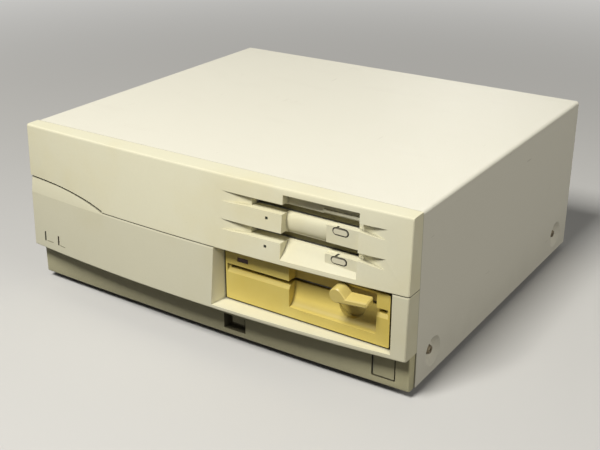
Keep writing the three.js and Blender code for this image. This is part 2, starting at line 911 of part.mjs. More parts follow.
function powerOutline(grow) {
  const halfW = powerWidth / 2 + grow;
  const halfH = powerHeight / 2 + grow;
  const low = powerCentreZ - halfH;
  return roundedRect(powerCentreX - halfW, powerCentreX + halfW, low, powerCentreZ + halfH, powerCorner);
}

function resetCapSpan(grow) {
  return [resetLeft + resetCapInset - grow, resetRight - resetCapInset / 2 + grow];
}

function resetCapRise(grow) {
  const middle = (resetTop + resetBottom) / 2 + resetCapLift;
  return [middle - resetCapHeight / 2 - grow, middle + resetCapHeight / 2 + grow];
}

// Power button: a block just behind the face, with a rod to the switch
function powerFront() {
  return plinthFace(powerCentreX) + powerSetback;
}

function powerButton() {
  return prismY(powerOutline(0), powerFront(), powerFront() + powerLength, cornerFacets);
}

function powerRod() {
  const start = powerFront() + powerLength + gap;
  const end = supplyFront() + powerRodEntry;
  return rod('y', powerRodRadius, start, end, [powerCentreX, 0, powerCentreZ], pinSides);
}

function resetButton() {
  const floorY = plinthFace(resetLeft) + resetDepth;
  const back = depthAt(subframeDepth) - resetTravel - gap;
  return block(...resetCapSpan(0), floorY - resetCapProud, back, ...resetCapRise(0));
}

// Steel cover: one bent sheet with a pressed dimple at each screw
function coverOutline(inset, foot) {
  const side = halfWidth - inset;
  const top = caseHeight - inset;
  const radius = coverCorner - inset;
  const shape = new THREE.Shape();
  shape.moveTo(-side, foot);
  shape.lineTo(side, foot);
  shape.lineTo(side, top - radius);
  shape.absarc(side - radius, top - radius, radius, 0, Math.PI / 2);
  shape.lineTo(-side + radius, top);
  shape.absarc(-side + radius, top - radius, radius, Math.PI / 2, Math.PI);
  return shape;
}

function screwPlaces() {
  return [-1, 1].flatMap(side => [frontScrewDepth, rearScrewDepth].map(depth => [side, depthAt(depth)]));
}

function topCover() {
  const frontY = depthAt(bezelDepth) + gap;
  const skin = prismY(coverOutline(0, coverBottom), frontY, rearY, bendFacets);
  const inner = coverOutline(coverWall, coverBottom - overrun);
  const space = prismY(inner, frontY - overrun, rearY + overrun, bendFacets);
  const sheet = skin.subtract(space);
  const bumps = screwPlaces().map(([side, y]) => dimple(side, y, coverWall, -mergeTolerance));
  const dents = screwPlaces().map(([side, y]) => dimple(side, y, 0, overrun));
  const reach = 2 * dimpleDepth;
  const holes = screwPlaces().map(([side, y]) => {
    return rod('x', screwRadius + gap, -reach, reach, [side * halfWidth, y, screwHeight], pinSides);
  });
  return without(joined([sheet, ...bumps]), [...dents, ...holes]);
}

// Dimple cone, grown by the wall for its inner side and run out past the sheet
function dimple(side, y, wall, runOut) {
  const mouth = halfWidth + runOut;
  const slope = (dimpleRadius - dimpleFloorRadius) / dimpleDepth;
  const floorX = halfWidth - dimpleDepth - wall;
  const floorRadius = dimpleFloorRadius + wall / 2;
  const mouthRadius = floorRadius + slope * (mouth - floorX);
  const made = cone('x', floorRadius, mouthRadius, floorX, mouth, [0, y, screwHeight], discSides);
  return side > 0 ? made : mirrored(made);
}

function coverScrew(side, y) {
  const seat = halfWidth - dimpleDepth + gap;
  const centre = [0, y, screwHeight];
  const top = seat + screwHeadHeight;
  const head = cone('x', screwHeadRadius, screwHeadRadius * screwTopShare, seat, top, centre, postSides);
  const shank = rod('x', screwRadius, seat - screwLength, seat + mergeTolerance, centre, pinSides);
  const reach = 2 * screwHeadRadius * screwSlotShare;
  const deep = [top - screwSlotDepth, top + overrun];
  const upright = block(...deep, ...span(y, screwSlotWidth, 0), ...span(screwHeight, reach, 0));
  const level = block(...deep, ...span(y, reach, 0), ...span(screwHeight, screwSlotWidth, 0));
  const made = without(head.add(shank), [upright, level]);
  return side > 0 ? made : mirrored(made);
}

// Chassis tray: folded floor with side flanges, vents, foot holes and standoffs
function chassisTray() {
  const front = depthAt(chassisFront);
  const back = panelFront() - gap;
  const outer = flangeOuter();
  const inner = outer - steel;
  const floor = chassisFloor + steel;
  const high = chassisFloor + flangeHeight;
  const channel = polygon([
    [-outer, chassisFloor],
    [outer, chassisFloor],
    [outer, high],
    [inner, high],
    [inner, floor],
    [-inner, floor],
    [-inner, high],
    [-outer, high],
  ]);
  const posts = standoffPlaces().map(([x, y]) => {
    return rod('z', standoffRadius, chassisFloor + steel / 2, standoffTop(), [x, y, 0], pinSides);
  });
  const screwHoles = screwPlaces().map(([side, y]) => {
    const [from, to] = [inner - overrun, outer + overrun].map(x => side * x).sort((a, b) => a - b);
    return rod('x', screwRadius + gap, from, to, [0, y, screwHeight], pinSides);
  });
  const vents = Array.from({ length: ventCount }, (_, i) => {
    const x = ventStart + i * ventPitch;
    const y = depthAt(ventDepth);
    return block(x, x + ventWidth, y, y + ventLength, chassisFloor - overrun, floor + overrun);
  });
  const footHoles = footPlaces().map(([, x, y]) => {
    return rod('z', footStem + gap, chassisFloor - overrun, floor + overrun, [x, y, 0], postSides);
  });
  return without(joined([prismY(channel, front, back), ...posts]), [...screwHoles, ...vents, ...footHoles]);
}

function flangeOuter() {
  return halfWidth - dimpleDepth - coverWall - gap;
}

function panelFront() {
  return depthAt(sideDepth - rearInset) - steel;
}

function standoffTop() {
  return chassisFloor + steel + standoffHeight;
}

function standoffPlaces() {
  const left = boardLeft + 2 * standoffRadius;
  const right = boardRight - 2 * standoffRadius;
  const front = depthAt(boardFront) + 2 * standoffRadius;
  const back = boardBack() - 2 * standoffRadius;
  const tongue = [boardTongue - 2 * standoffRadius, tongueRange()[0] + 2 * standoffRadius];
  return [[left, front], [right, front], [left, back], [right, back], tongue];
}

function boardBack() {
  return panelFront() - gap;
}

// Rubber foot: a cup-shaped pad with a stem through the floor
function footPlaces() {
  const x = halfWidth - footInset;
  return [
    ['foot_front_left', -x, depthAt(footFrontDepth)],
    ['foot_front_right', x, depthAt(footFrontDepth)],
    ['foot_rear_left', -x, depthAt(footRearDepth)],
    ['foot_rear_right', x, depthAt(footRearDepth)],
  ];
}

function foot(x, y) {
  const top = chassisFloor - gap;
  const profile = [
    [0, 0],
    [footRadius * footToeShare, 0],
    [footRadius, footSink],
    [footRadius, top - footSink],
    [footRadius - footSink, top],
    [footStem, top],
    [footStem, chassisFloor + steel],
    [0, chassisFloor + steel],
  ];
  const geometry = new THREE.LatheGeometry(profile.map(([r, z]) => new THREE.Vector2(r, z)), postSides);
  geometry.rotateX(Math.PI / 2);
  geometry.translate(x, y, 0);
  return solidOf(geometry);
}

// Steel plate behind the moulded front, open for the drives and the buttons
function subframe() {
  const front = depthAt(subframeDepth);
  const wide = flangeOuter();
  const profile = polygon([
    [front, chassisFloor],
    [front + steel, chassisFloor],
    [front + steel, panelTop - steel],
    [front + subframeLip, panelTop - steel],
    [front + subframeLip, panelTop],
    [front, panelTop],
  ]);
  const plate = prismX(profile, -wide, wide);
  const clear = subframeClearance;
  const through = [front - overrun, front + steel + overrun];
  const large = block(
    ...span(largeBodyLeft() + largeBodyWidth / 2, largeBodyWidth, clear),
    ...through,
    ...span(largeBodyBottom() + largeBodyHeight / 2, largeBodyHeight, clear),
  );
  const small = block(
    ...span(smallCentreX, smallWidth, clear),
    ...through,
    smallBottom(unitCount - 1) - clear,
    smallBottom(0) + smallHeight + clear,
  );
  const rodHole = rod('y', powerRodRadius + gap, ...through, [powerCentreX, 0, powerCentreZ], pinSides);
  const airs = Array.from({ length: airCount }, (_, i) => {
    const x = airLeft + i * airPitch;
    return block(x, x + airWidth, ...through, airBottom, airBottom + airHeight);
  });
  return without(plate, [large, small, rodHole, ...airs]);
}

// Rear panel with a ring grille, socket openings and card openings
function rearPanel() {
  const front = panelFront();
  const back = front + steel;
  const through = [front - overrun, back + overrun];
  const plate = prismY(coverOutline(coverWall + gap, chassisFloor), front, back, bendFacets);
  const cards = cardLevels().map(z => {
    const margin = coverPlateHeight * cardMarginShare;
    const [low, high] = [z + margin, z + coverPlateHeight - margin];
    return block(cardLeft + 2 * margin, riserX - 3 * margin, ...through, low, high);
  });
  const mains = [inletCentreZ, outletCentreZ].map(z => {
    return block(...span(inletCentreX, inletWidth, gap), ...through, ...span(z, inletHeight, gap));
  });
  const sockets = socketTable().map(socket => prismY(socketOutline(socket, gap), ...through, socketFacets));
  return without(plate, [...cards, ...mains, ...sockets, grille(...through)]);
}

function span(centre, size, grow) {
  return [centre - size / 2 - grow, centre + size / 2 + grow];
}

function cardLevels() {
  return Array.from({ length: cardCount }, (_, i) => cardBottom + i * cardPitch);
}

// Concentric slots left open between four spokes
function grille(from, to) {
  const centre = [fanCentreX, 0, fanCentreZ];
  const rings = Array.from({ length: grilleCount }, (_, i) => {
    const outer = fanBore - i * (grilleGap + grilleRing);
    const ring = rod('y', outer, from, to, centre, discSides);
    return ring.subtract(rod('y', outer - grilleGap, from - overrun, to + overrun, centre, discSides));
  });
  const width = grilleRing + 2 * gap;
  const through = [from - overrun, to + overrun];
  const tall = block(...span(fanCentreX, width, 0), ...through, ...span(fanCentreZ, fanSize, 0));
  const broad = block(...span(fanCentreX, fanSize, 0), ...through, ...span(fanCentreZ, width, 0));
  return without(joined(rings), [tall, broad]);
}

// Slot cover plate with two thumb screws
function slotCover(z) {
  const back = panelFront() + steel + gap;
  const left = cardLeft;
  const right = riserX - thumbRadius / 2;
  const plate = block(left, right, back, back + coverPlateThickness, z, z + coverPlateHeight);
  const middle = z + coverPlateHeight / 2;
  const rib = block(
    left + coverPlateHeight, right - coverPlateHeight,
    back, back + 2 * coverPlateThickness,
    ...span(middle, coverRibHeight, 0),
  );
  const thumbs = [left + 2 * thumbRadius, right - 2 * thumbRadius].map(x => {
    return rod('y', thumbRadius, back + coverPlateThickness / 2, rearY - gap, [x, 0, middle], pinSides);
  });
  return joined([plate, rib, ...thumbs]);
}

// Rear sockets: name, outline kind, place across, width, height
function socketTable() {
  return [
    ['keyboard_socket', 'round', keyboardX, dinSize, dinSize],
    ['mouse_socket', 'round', mouseX, smallDinSize, smallDinSize],
    ['serial_socket', 'tapered', serialX, serialWidth, shellHeight],
    ['printer_socket', 'tongued', printerX, printerWidth, printerHeight],
    ['display_socket', 'tapered', displayX, displayWidth, shellHeight],
    ['sound_jack', 'jack', soundX, jackSize, jackSize],
  ];
}

function socketLevel() {
  return boardTop() + gap;
}

function socketOutline([, kind, x, width, height], grow) {
  const z = socketLevel() + socketLift + height / 2;
  const halfW = width / 2 + grow;
  const halfH = height / 2 + grow;
  if (kind === 'round' || kind === 'jack') {
    const circle = new THREE.Shape();
    circle.absarc(x, z, halfH, 0, Math.PI * 2);
    return circle;
  }
  const lean = height / 2 * socketLeanShare;
  return polygon([
    [x - halfW + lean, z - halfH],
    [x + halfW - lean, z - halfH],
    [x + halfW, z + halfH],
    [x - halfW, z + halfH],
  ]);
}

// Socket: a housing on the board and a hollow shell through the panel
function rearSocket(socket) {
  const [, kind, x, width, height] = socket;
  const level = socketLevel();
  const inside = panelFront() - gap;
  const shellBack = panelFront() + steel + socketProud;
  const wall = kind === 'jack' ? height / 2 - jackBore : socketShell;
  const shell = prismY(socketOutline(socket, 0), inside - overrun, shellBack, socketFacets);
  const recess = prismY(socketOutline(socket, -wall), inside, shellBack + overrun, socketFacets);
  const housingTop = level + height + 2 * socketLift;
  const housing = block(...span(x, width, 0), inside - socketLength, inside, level, housingTop);
  const body = joined([shell.subtract(recess), housing]);
  if (kind !== 'tongued') {
    return body;
  }
  const middle = level + socketLift + height / 2;
  const tongue = block(
    ...span(x, width * tongueShare, 0),
    inside - overrun, shellBack - socketShell,
    ...span(middle, tongueHeight, 0),
  );
  return body.add(tongue);
}

// Large drive: face, body, lens and lever
function largeBodyLeft() {
  return largeFaceLeft + (largeFaceWidth - largeBodyWidth) / 2;
}

function largeBodyBottom() {
  return largeFaceBottom + (largeFaceHeight - largeBodyHeight) / 2;
}

function largeFaceBack() {
  return depthAt(largeFaceDepth + largeFaceThickness);
}

function largeDriveBack() {
  return largeFaceBack() + gap + largeBodyLength;
}

function largeSlotRange() {
  const low = largeFaceBottom + largeSlotRise;
  return [low, low + largeSlotHeight];
}

function leverCentre() {
  return [largeFaceLeft + leverX, 0, largeFaceBottom + leverRise];
}

function largeFace() {
  const front = depthAt(largeFaceDepth);
  const back = largeFaceBack();
  const right = largeFaceLeft + largeFaceWidth;
  const high = largeFaceBottom + largeFaceHeight;
  const outline = roundedRect(largeFaceLeft, right, largeFaceBottom, high, largeFaceCorner);
  const plate = prismY(outline, front, back, cornerFacets);
  const [slotLow, slotHigh] = largeSlotRange();
  const slotLeftEnd = largeFaceLeft + largeSlotMargin;
  const slotRightEnd = right - largeSlotMargin;
  const slot = block(slotLeftEnd + gap, slotRightEnd - gap, front, back + overrun, slotLow, slotHigh);
  const bevelLow = largeFaceBottom + largeBevelRise;
  const bevelHigh = bevelLow + largeBevelHeight;
  const mouthHigh = largeFaceBottom + largeMouthRise;
  const bevelProfile = polygon([
    [front - largeBevelDepth, bevelLow - largeBevelHeight],
    [front + largeBevelDepth, bevelHigh],
    [front + largeBevelDepth, mouthHigh],
    [front - largeBevelDepth, mouthHigh],
  ]);
  const bevel = prismX(bevelProfile, largeFaceLeft + largeLipMargin, right - largeLipMargin);
  const mouthProfile = polygon([
    [front, bevelHigh],
    [front + largeBevelDepth, bevelHigh],
    [front + largeLipDepth, slotLow],
    [front + largeLipDepth, mouthHigh],
    [front, mouthHigh],
  ]);
  const mouth = prismX(mouthProfile, slotLeftEnd, slotRightEnd);
  const shaft = rod('y', leverShaftRadius + gap, front, back + overrun, leverCentre(), postSides);
  const lamp = largeLampPrism(gap, front - overrun, back + overrun);
  const dishCentre = [largeFaceLeft + dishCentreX, 0, largeFaceBottom + dishRise];
  const dish = rod('y', dishRadius, front - overrun, front + palmDepth + dishExtra, dishCentre, ringSides);
  return without(plate, [palmRecess(), bevel, mouth, slot, dish, shaft, lamp]);
}

// Palm recess: straight above the slot, a quarter ellipse below it
function palmRecess() {
  const front = depthAt(largeFaceDepth);
  const low = largeFaceBottom + palmBottom;
  const [slotLow] = largeSlotRange();
  const rise = slotLow - low;
  const curve = Array.from({ length: palmFacets + 1 }, (_, i) => {
    const turn = i / palmFacets * Math.PI / 2;
    return [front + palmDepth * Math.sin(turn), slotLow - rise * Math.cos(turn)];
  });
  const high = largeFaceBottom + largeFaceHeight - palmTopMargin;
  const deep = front + palmDepth;
  const profile = polygon([[front - overrun, low], ...curve, [deep, high], [front - overrun, high]]);
  return prismX(profile, largeFaceLeft + palmLeft, largeFaceLeft + palmRight);
}

function largeLampPrism(grow, from, to) {
  const left = largeFaceLeft + largeLampLeft - grow;
  const low = largeFaceBottom + largeLampRise - grow;
  return block(left, left + largeLampWidth + 2 * grow, from, to, low, low + largeLampHeight + 2 * grow);
}

function largeLamp() {
  const front = depthAt(largeFaceDepth) + gap;
  return largeLampPrism(0, front, largeFaceBack());
}

// Lever: round head over the shaft and a bar whose top slopes down to the front
function leverSection(reach, [frontLow, frontHigh, backLow, backHigh], inset) {
  const [x, , z] = leverCentre();
  const front = depthAt(leverFront) + inset;
  const back = depthAt(leverBack) - inset;
  return [
    [front, frontLow + leverBevel + inset],
    [front, frontHigh - leverBevel - inset],
    [front + leverBevel, frontHigh - inset],
    [back, backHigh - inset],
    [back, backLow + inset],
    [front + leverBevel, frontLow + inset],
  ].map(([y, rise]) => new THREE.Vector3(x + reach, y, z + rise));
}

function leverHead() {
  const [x, , z] = leverCentre();
  const front = depthAt(leverFront);
  const rings = [
    [front, leverHeadFrontRadius - leverBevel],
    [front + leverBevel, leverHeadFrontRadius],
    [depthAt(leverBack), leverHeadRadius],
  ];
  const circles = rings.flatMap(([y, radius]) => Array.from({ length: leverFacets }, (_, i) => {
    const turn = 2 * Math.PI * (i + 1 / 2) / leverFacets;
    return new THREE.Vector3(x + radius * Math.cos(turn), y, z + radius * Math.sin(turn));
  }));
  return new ConvexGeometry([...circles, ...leverSection(leverNeckReach, leverNeckRises, leverNeckInset)]);
}

function leverBar() {
  const end = leverSection(leverEndReach - leverBevel, leverEndRises, 0);
  const cap = leverSection(leverEndReach, leverEndRises, leverBevel);
  const neck = leverSection(leverNeckReach, leverNeckRises, 0);
  const share = leverNeckReach / (leverEndReach - leverBevel - leverNeckReach);
  const root = neck.map((place, i) => place.clone().lerp(end[i], -share));
  return new ConvexGeometry([...root, ...end, ...cap]);
}

function largeLever() {
  const [x, , z] = leverCentre();
  const from = depthAt(leverBack) - overrun;
  const shaft = rod('y', leverShaftRadius, from, depthAt(leverShaftEnd), [x, 0, z], postSides);
  return joined([solidOf(leverHead()), solidOf(leverBar()), shaft]);
}

function largeDrive() {
  const front = largeFaceBack() + gap;
  const back = front + largeBodyLength;
  const left = largeBodyLeft();
  const low = largeBodyBottom();
  const body = block(left, left + largeBodyWidth, front, back, low, low + largeBodyHeight);
  const [slotLow, slotHigh] = largeSlotRange();
  const right = left + largeBodyWidth;
  const high = low + largeBodyHeight;
  const trayEnd = front + largeTrayLength;
  const [trayLeft, trayRight] = [left + largeSlotMargin, right - largeSlotMargin];
  const tray = block(trayLeft, trayRight, front - overrun, trayEnd, slotLow, slotHigh);
  const shaftEnd = depthAt(leverShaftEnd) + gap;
  const shaftHole = rod('y', leverShaftRadius + gap, front - overrun, shaftEnd, leverCentre(), postSides);
  const plug = block(
    ...largePlugShares.map(share => left + largeBodyWidth * share),
    back - overrun, back + driveplugDepth,
    low + driveplugRise, low + driveplugRise + driveplugHeight,
  );
  const sides = [left - overrun, right + overrun];
  const step = block(...sides, trayEnd, back + overrun, high - driveStep, high + overrun);
  return without(body, [tray, shaftHole, step]).add(plug);
}

// Small drives
function smallLeft() {
  return smallCentreX - smallWidth / 2;
}

function smallBottom(unit) {
  return unitLevel(unit) + smallTopMargin - smallHeight;
}

function smallFrontY() {
  return recessFloor() + recessWall + gap;
}

function slotRange(unit) {
  const high = unitLevel(unit) - slotDrop;
  return [high - slotHeight, high];
}

function smallDrive(unit) {
  const front = smallFrontY();
  const back = front + smallLength;
  const low = smallBottom(unit);
  const high = low + smallHeight;
  const [slotLow, slotHigh] = slotRange(unit);
  const left = slotLeft + smallTrayMargin;
  const right = slotRight - smallTrayMargin;
  const trayEnd = front + smallTrayDepth;
  const body = block(...span(smallCentreX, smallWidth, 0), front, back, low, high);
  const tray = block(left, right, front - overrun, trayEnd, slotLow, slotHigh);
  const pin = flapHinge(unit);
  const pinReach = flapPinLength + gap;
  const pinHoles = rod('x', flapPin + gap, left - pinReach, right + pinReach, [0, pin.y, pin.z], pinSides);
  const pocketBack = ejectBack(unit) + ejectTravel + gap;
  const pocket = prismY(ejectOutline(unit, gap), front - overrun, pocketBack, pillFacets);
  const step = block(
    ...span(smallCentreX, smallWidth, overrun),
    trayEnd + overrun, back + overrun,
    slotHigh - driveStep / 2, high + overrun,
  );
  const plug = block(
    ...span(smallCentreX, smallPlugWidth, 0),
    back - overrun, back + driveplugDepth,
    low + driveplugRise, low + driveplugRise + driveplugHeight,
  );
  return without(body, [tray, pinHoles, pocket, step]).add(plug);
}

function flapHinge(unit) {
  const [, slotHigh] = slotRange(unit);
  return { y: smallFrontY() + gap + flapPin + flapInset, z: slotHigh - gap - flapPin + flapLift };
}

// Flap hung on two pins at the top of the slot
function smallFlap(unit) {
  const pin = flapHinge(unit);
  const [slotLow] = slotRange(unit);
  const left = slotLeft + smallTrayMargin + flapMargin;
  const right = slotRight - smallTrayMargin - flapMargin;
  const plate = block(left, right, ...span(pin.y, flapThickness, 0), slotLow + flapMargin, pin.z);
  const barrel = rod('x', flapPin, left - flapPinLength, right + flapPinLength, [0, pin.y, pin.z], pinSides);
  return plate.add(barrel);
}

function ejectBack(unit) {
  return padFace(unit) + ejectLength;
}

function ejectButton(unit) {
  return prismY(ejectOutline(unit, 0), padFace(unit) - ejectProud, ejectBack(unit), pillFacets);
}

function smallLamp(unit) {
  const z = unitLevel(unit) - lampHoleDrop;
  const half = lampHoleSize / 2 - gap;
  const faceY = frontFace(lampHoleX, z) + lampSink;
  return block(lampHoleX - half, lampHoleX + half, faceY, smallFrontY() - gap, z - half, z + half);
}

// Sheet cage that holds the three drives on the chassis floor
function driveCage() {
  const front = depthAt(cageFront);
  const length = largeBodyLength - cageSetback;
  const back = front + length;
  const left = largeBodyLeft() - gap;
  const right = largeBodyLeft() + largeBodyWidth + gap;
  const floor = chassisFloor + steel + gap;
  const shelf = largeBodyBottom() - gap;
  const roof = largeBodyBottom() + largeBodyHeight + gap;
  const top = smallBottom(0) + smallHeight;
  const smallRight = smallLeft() + smallWidth + gap;
  const post = smallLeft() - gap;
  const shape = polygon([
    [left - cageToe, floor],
    [left, floor],
    [left, shelf - steel],
    [right, shelf - steel],
    [right, floor],
    [right + cageToe, floor],
    [right + cageToe, floor + steel],
    [right + steel, floor + steel],
    [right + steel, roof + steel],
    [smallRight + steel, roof + steel],
    [smallRight + steel, top],
    [smallRight, top],
    [smallRight, roof + steel],
    [post, roof + steel],
    [post, top],
    [post - steel, top],
    [post - steel, roof + steel],
    [left - steel, roof + steel],
    [left - steel, floor + steel],
    [left - cageToe, floor + steel],
  ]);
  shape.holes.push(polygon([[left, shelf], [right, shelf], [right, roof], [left, roof]]));
  const holes = Array.from({ length: cageHoleCount }, (_, i) => {
    const y = front + length * (i + 1 / 2) / cageHoleCount;
    return rod('x', cageHole / 2, left - cageToe, right + cageToe, [0, y, (floor + shelf) / 2], postSides);
  });
  const room = [front + cageHole, back - cageHole];
  const air = block(left + cageHole, right - cageHole, ...room, shelf - overrun, shelf + gap);
  return without(prismY(shape, front, back), [...holes, air]);
}

// Power supply with a fan pocket and an air space behind it
function supplyFront() {
  return largeDriveBack() + supplyClearance;
}

function supplyBottom() {
  return chassisFloor + steel + gap;
}

function powerSupply() {
  const back = panelFront() - gap;
  const front = supplyFront();
  const left = supplyRight - supplyWidth;
  const low = supplyBottom();
  const high = low + supplyHeight;
  const body = block(left, supplyRight, front, back, low, high);
  const behind = back + overrun;
  const pocketFront = back - fanDepth - 2 * gap;
  const fanRise = span(fanCentreZ, fanSize, gap);
  const pocket = block(...span(fanCentreX, fanSize, gap), pocketFront, behind, ...fanRise);
  const airBack = back - fanDepth;
  const air = rod('y', fanBore, airBack - fanAir, airBack, [fanCentreX, 0, fanCentreZ], ringSides);
  const mainsWide = span(inletCentreX, inletWidth, gap);
  const mains = [inletCentreZ, outletCentreZ].map(z => {
    return block(...mainsWide, back - inletLength, behind, ...span(z, inletHeight, gap));
  });
  const rodEnd = front + powerRodEntry + powerTravel + gap;
  const rodCentre = [powerCentreX, 0, powerCentreZ];
  const rodHole = rod('y', powerRodRadius + gap, front - overrun, rodEnd, rodCentre, pinSides);
  const vents = Array.from({ length: supplyVents }, (_, i) => {
    const z = fanCentreZ + (i - (supplyVents - 1) / 2) * ventPitch;
    const deep = back - fanDepth - fanAir / 2;
    return block(left - overrun, fanCentreX, deep - ventWidth, deep + ventWidth, z, z + ventWidth);
  });
  return without(body, [pocket, air, ...mains, rodHole, ...vents]);
}

function fanBack() {
  return panelFront() - 2 * gap;
}

function fanFrame() {
  const back = fanBack();
  const front = back - fanDepth;
  const outline = roundedRect(...span(fanCentreX, fanSize, 0), ...span(fanCentreZ, fanSize, 0), fanCorner);
  const shell = prismY(outline, front, back, cornerFacets);
  const centre = [fanCentreX, 0, fanCentreZ];
  const bore = rod('y', fanBore, front - overrun, back + overrun, centre, ringSides);
  const spokeFront = back - fanStrut;
  const motor = rod('y', fanHubRadius, spokeFront, back, centre, discSides);
  const reach = fanBore + fanSize / 2;
  const broad = block(...span(fanCentreX, reach, 0), spokeFront, back, ...span(fanCentreZ, fanStrut, 0));
  const tall = block(...span(fanCentreX, fanStrut, 0), spokeFront, back, ...span(fanCentreZ, reach, 0));
  const shaft = rod('y', fanShaftRadius, front + fanStrut, spokeFront + overrun, centre, pinSides);
  return joined([shell.subtract(bore), motor, broad, tall, shaft]);
}

function fanRotor() {
  const back = fanBack() - fanStrut - fanBladeGap;
  const front = fanBack() - fanDepth + fanBladeGap;
  const centre = [fanCentreX, 0, fanCentreZ];
  const hub = rod('y', fanHubRadius, front, back, centre, discSides);
  const length = back - front - fanBladeGap;
  const reach = fanBore - fanBladeGap;
  const bladeLength = reach + overrun;
  const blades = Array.from({ length: fanBlades }, (_, i) => {
    const geometry = new THREE.BoxGeometry(fanBladeThickness, length, bladeLength);
    geometry.rotateZ(fanTwist);
    geometry.translate(0, (front + back) / 2, bladeLength / 2);
    geometry.rotateY(2 * Math.PI * i / fanBlades);
    geometry.translate(fanCentreX, 0, fanCentreZ);
    return solidOf(geometry);
  });
  const sweep = rod('y', reach, front, back, centre, ringSides);
  const shaftHole = rod('y', fanShaftRadius + gap, front + fanBladeGap, back + overrun, centre, pinSides);
  return joined([hub, ...blades]).intersect(sweep).subtract(shaftHole);
}

// Mains sockets on the rear
function mainsSocket(centreZ, pinShares) {
  const inside = panelFront() - inletLength;
  const outer = panelFront() + steel + inletFlange;
  const shell = block(...span(inletCentreX, inletWidth, 0), inside, outer, ...span(centreZ, inletHeight, 0));
  const inner = roundedRect(
    ...span(inletCentreX, inletWidth, -inletWall),
    ...span(centreZ, inletHeight, -inletWall),
    inletWall,
  );
  const recess = prismY(inner, outer - inletRecess, outer + overrun, cornerFacets);
  const blades = pinShares.map(([shareX, shareZ]) => {
    const x = inletCentreX + shareX * inletWidth;
    const z = centreZ + shareZ * inletHeight;
    const root = outer - inletRecess - overrun;
    return block(...span(x, inletPin, 0), root, outer - inletWall, ...span(z, 2 * inletPin, 0));
  });
  return joined([without(shell, [recess]), ...blades]);
}

// Boards and what stands on them
function boardTop() {
  return standoffTop() + gap + boardThickness;
}

function tongueRange() {
  return [cableDrop() - tongueLead, cableDrop() + tongueTail];
}

function mainBoard() {
  const low = standoffTop() + gap;
  const high = boardTop();
  const seat = high - mergeTolerance;
  const front = depthAt(boardFront);
  const [tongueFront, tongueBack] = tongueRange();
  const plate = block(boardLeft, boardRight, front, boardBack(), low, high);
  const neckLeft = boardRight - boardNeck;
  const neck = block(neckLeft, boardRight, Math.min(front, tongueFront), front + boardNeck, low, high);
  const tongue = block(neckLeft, boardTongue, tongueFront, tongueBack, low, high);
  const [cableFront, cableBack] = [cableDrop(), cableDrop() + cableThickness];
  const headerTop = high + headerHeight;
  const slots = [high + boardThickness, headerTop + overrun];
  const header = block(...cableSpan(), cableFront - headerWall, cableBack + headerWall, seat, headerTop);
  const headerSlot = block(...cableSpan(gap), cableFront - gap, cableBack + gap, ...slots);
  const diskHeader = block(...diskCableSpan(), ...diskHeaderRange(), seat, headerTop);
  const memoryRight = memoryLeft + memoryLength;
  const sockets = memoryPlaces().map(y => {
    const [socketFront, socketBack] = [y - memorySocket, y + memoryThickness + memorySocket];
    return block(memoryLeft, memoryRight, socketFront, socketBack, seat, high + headerHeight / 2);
  });
  const inset = memorySocket - gap;
  const memorySlots = memoryPlaces().map(y => {
    return block(memoryLeft + inset, memoryRight - inset, y - gap, y + memoryThickness + gap, ...slots);
  });
  const chips = chipPlaces().map(([x, y, w, d]) => block(x, x + w, y, y + d, seat, high + chipHeight));
  const raised = joined([plate, neck, tongue, header, diskHeader, ...sockets, ...chips]);
  return without(raised, [headerSlot, ...memorySlots]);
}

function chipPlaces() {
  const front = depthAt(boardFront);
  return chipPlaceShares.map(([across, along], i) => {
    const [wide, deep] = chipSizeShares[i];
    const x = THREE.MathUtils.lerp(boardLeft, boardRight, across);
    const y = THREE.MathUtils.lerp(front, boardBack(), along);
    return [x, y, wide * chipSize, deep * chipSize];
  });
}

function memoryPlaces() {
  const front = depthAt(boardFront) + memoryInset;
  return [front, front + memoryPitch];
}

function memoryModule(y) {
  const low = boardTop() + boardThickness + gap;
  const left = memoryLeft + memorySocket;
  const right = memoryLeft + memoryLength - memorySocket;
  const card = block(left, right, y, y + memoryThickness, low, low + memoryHeight);
  const width = (right - left) / memoryChips;
  const chipLow = low + memoryChipRise;
  const chips = Array.from({ length: memoryChips }, (_, i) => {
    const [from, to] = span(left + (i + 1 / 2) * width, width, -memoryChipGap);
    return block(from, to, y - memoryThickness, y, chipLow, chipLow + memoryChipHeight);
  });
  return joined([card, ...chips]);
}

function processor() {
  const low = boardTop() + gap;
  const centreY = boardBack() - processorInset;
  const [front, back] = span(centreY, processorSize, 0);
  return block(...span(processorX, processorSize, 0), front, back, low, low + processorHeight);
}

function heatSink() {
  const low = boardTop() + processorHeight + 2 * gap;
  const [left, right] = span(processorX, processorSize, 0);
  const [front, back] = span(boardBack() - processorInset, processorSize, 0);
  const base = block(left, right, front, back, low, low + sinkBase);
  const pitch = (right - left - sinkFin) / (sinkFins - 1);
  const fins = Array.from({ length: sinkFins }, (_, i) => {
    const x = left + i * pitch;
    return block(x, x + sinkFin, front, back, low + sinkBase / 2, low + sinkHeight);
  });
  return joined([base, ...fins]);
}

// Riser board for the expansion cards
function riserBoard() {
  const low = boardTop() + gap;
  const front = panelFront() - riserSetback - riserLength;
  const back = panelFront() - riserSetback;
  const board = block(riserX, riserX + boardThickness, front, back, low, panelTop - headerHeight);
  const [socketFront, socketBack] = [front + headerHeight, back - headerHeight];
  const sockets = cardLevels().map(z => {
    const rise = span(z + coverPlateHeight / 2, headerHeight, 0);
    return block(riserX - headerHeight, riserX + mergeTolerance, socketFront, socketBack, ...rise);
  });
  return joined([board, ...sockets]);
}

function backupBattery() {
  const low = boardTop() + gap;
  const centre = [boardRight - 2 * batteryRadius, boardBack() - batteryInset, 0];
  return rod('z', batteryRadius, low, low + batteryHeight, centre, discSides);
}

// Hard disk on its bracket
function hardDiskBottom() {
  return chassisFloor + steel + hardRise + steel + 2 * gap;
}

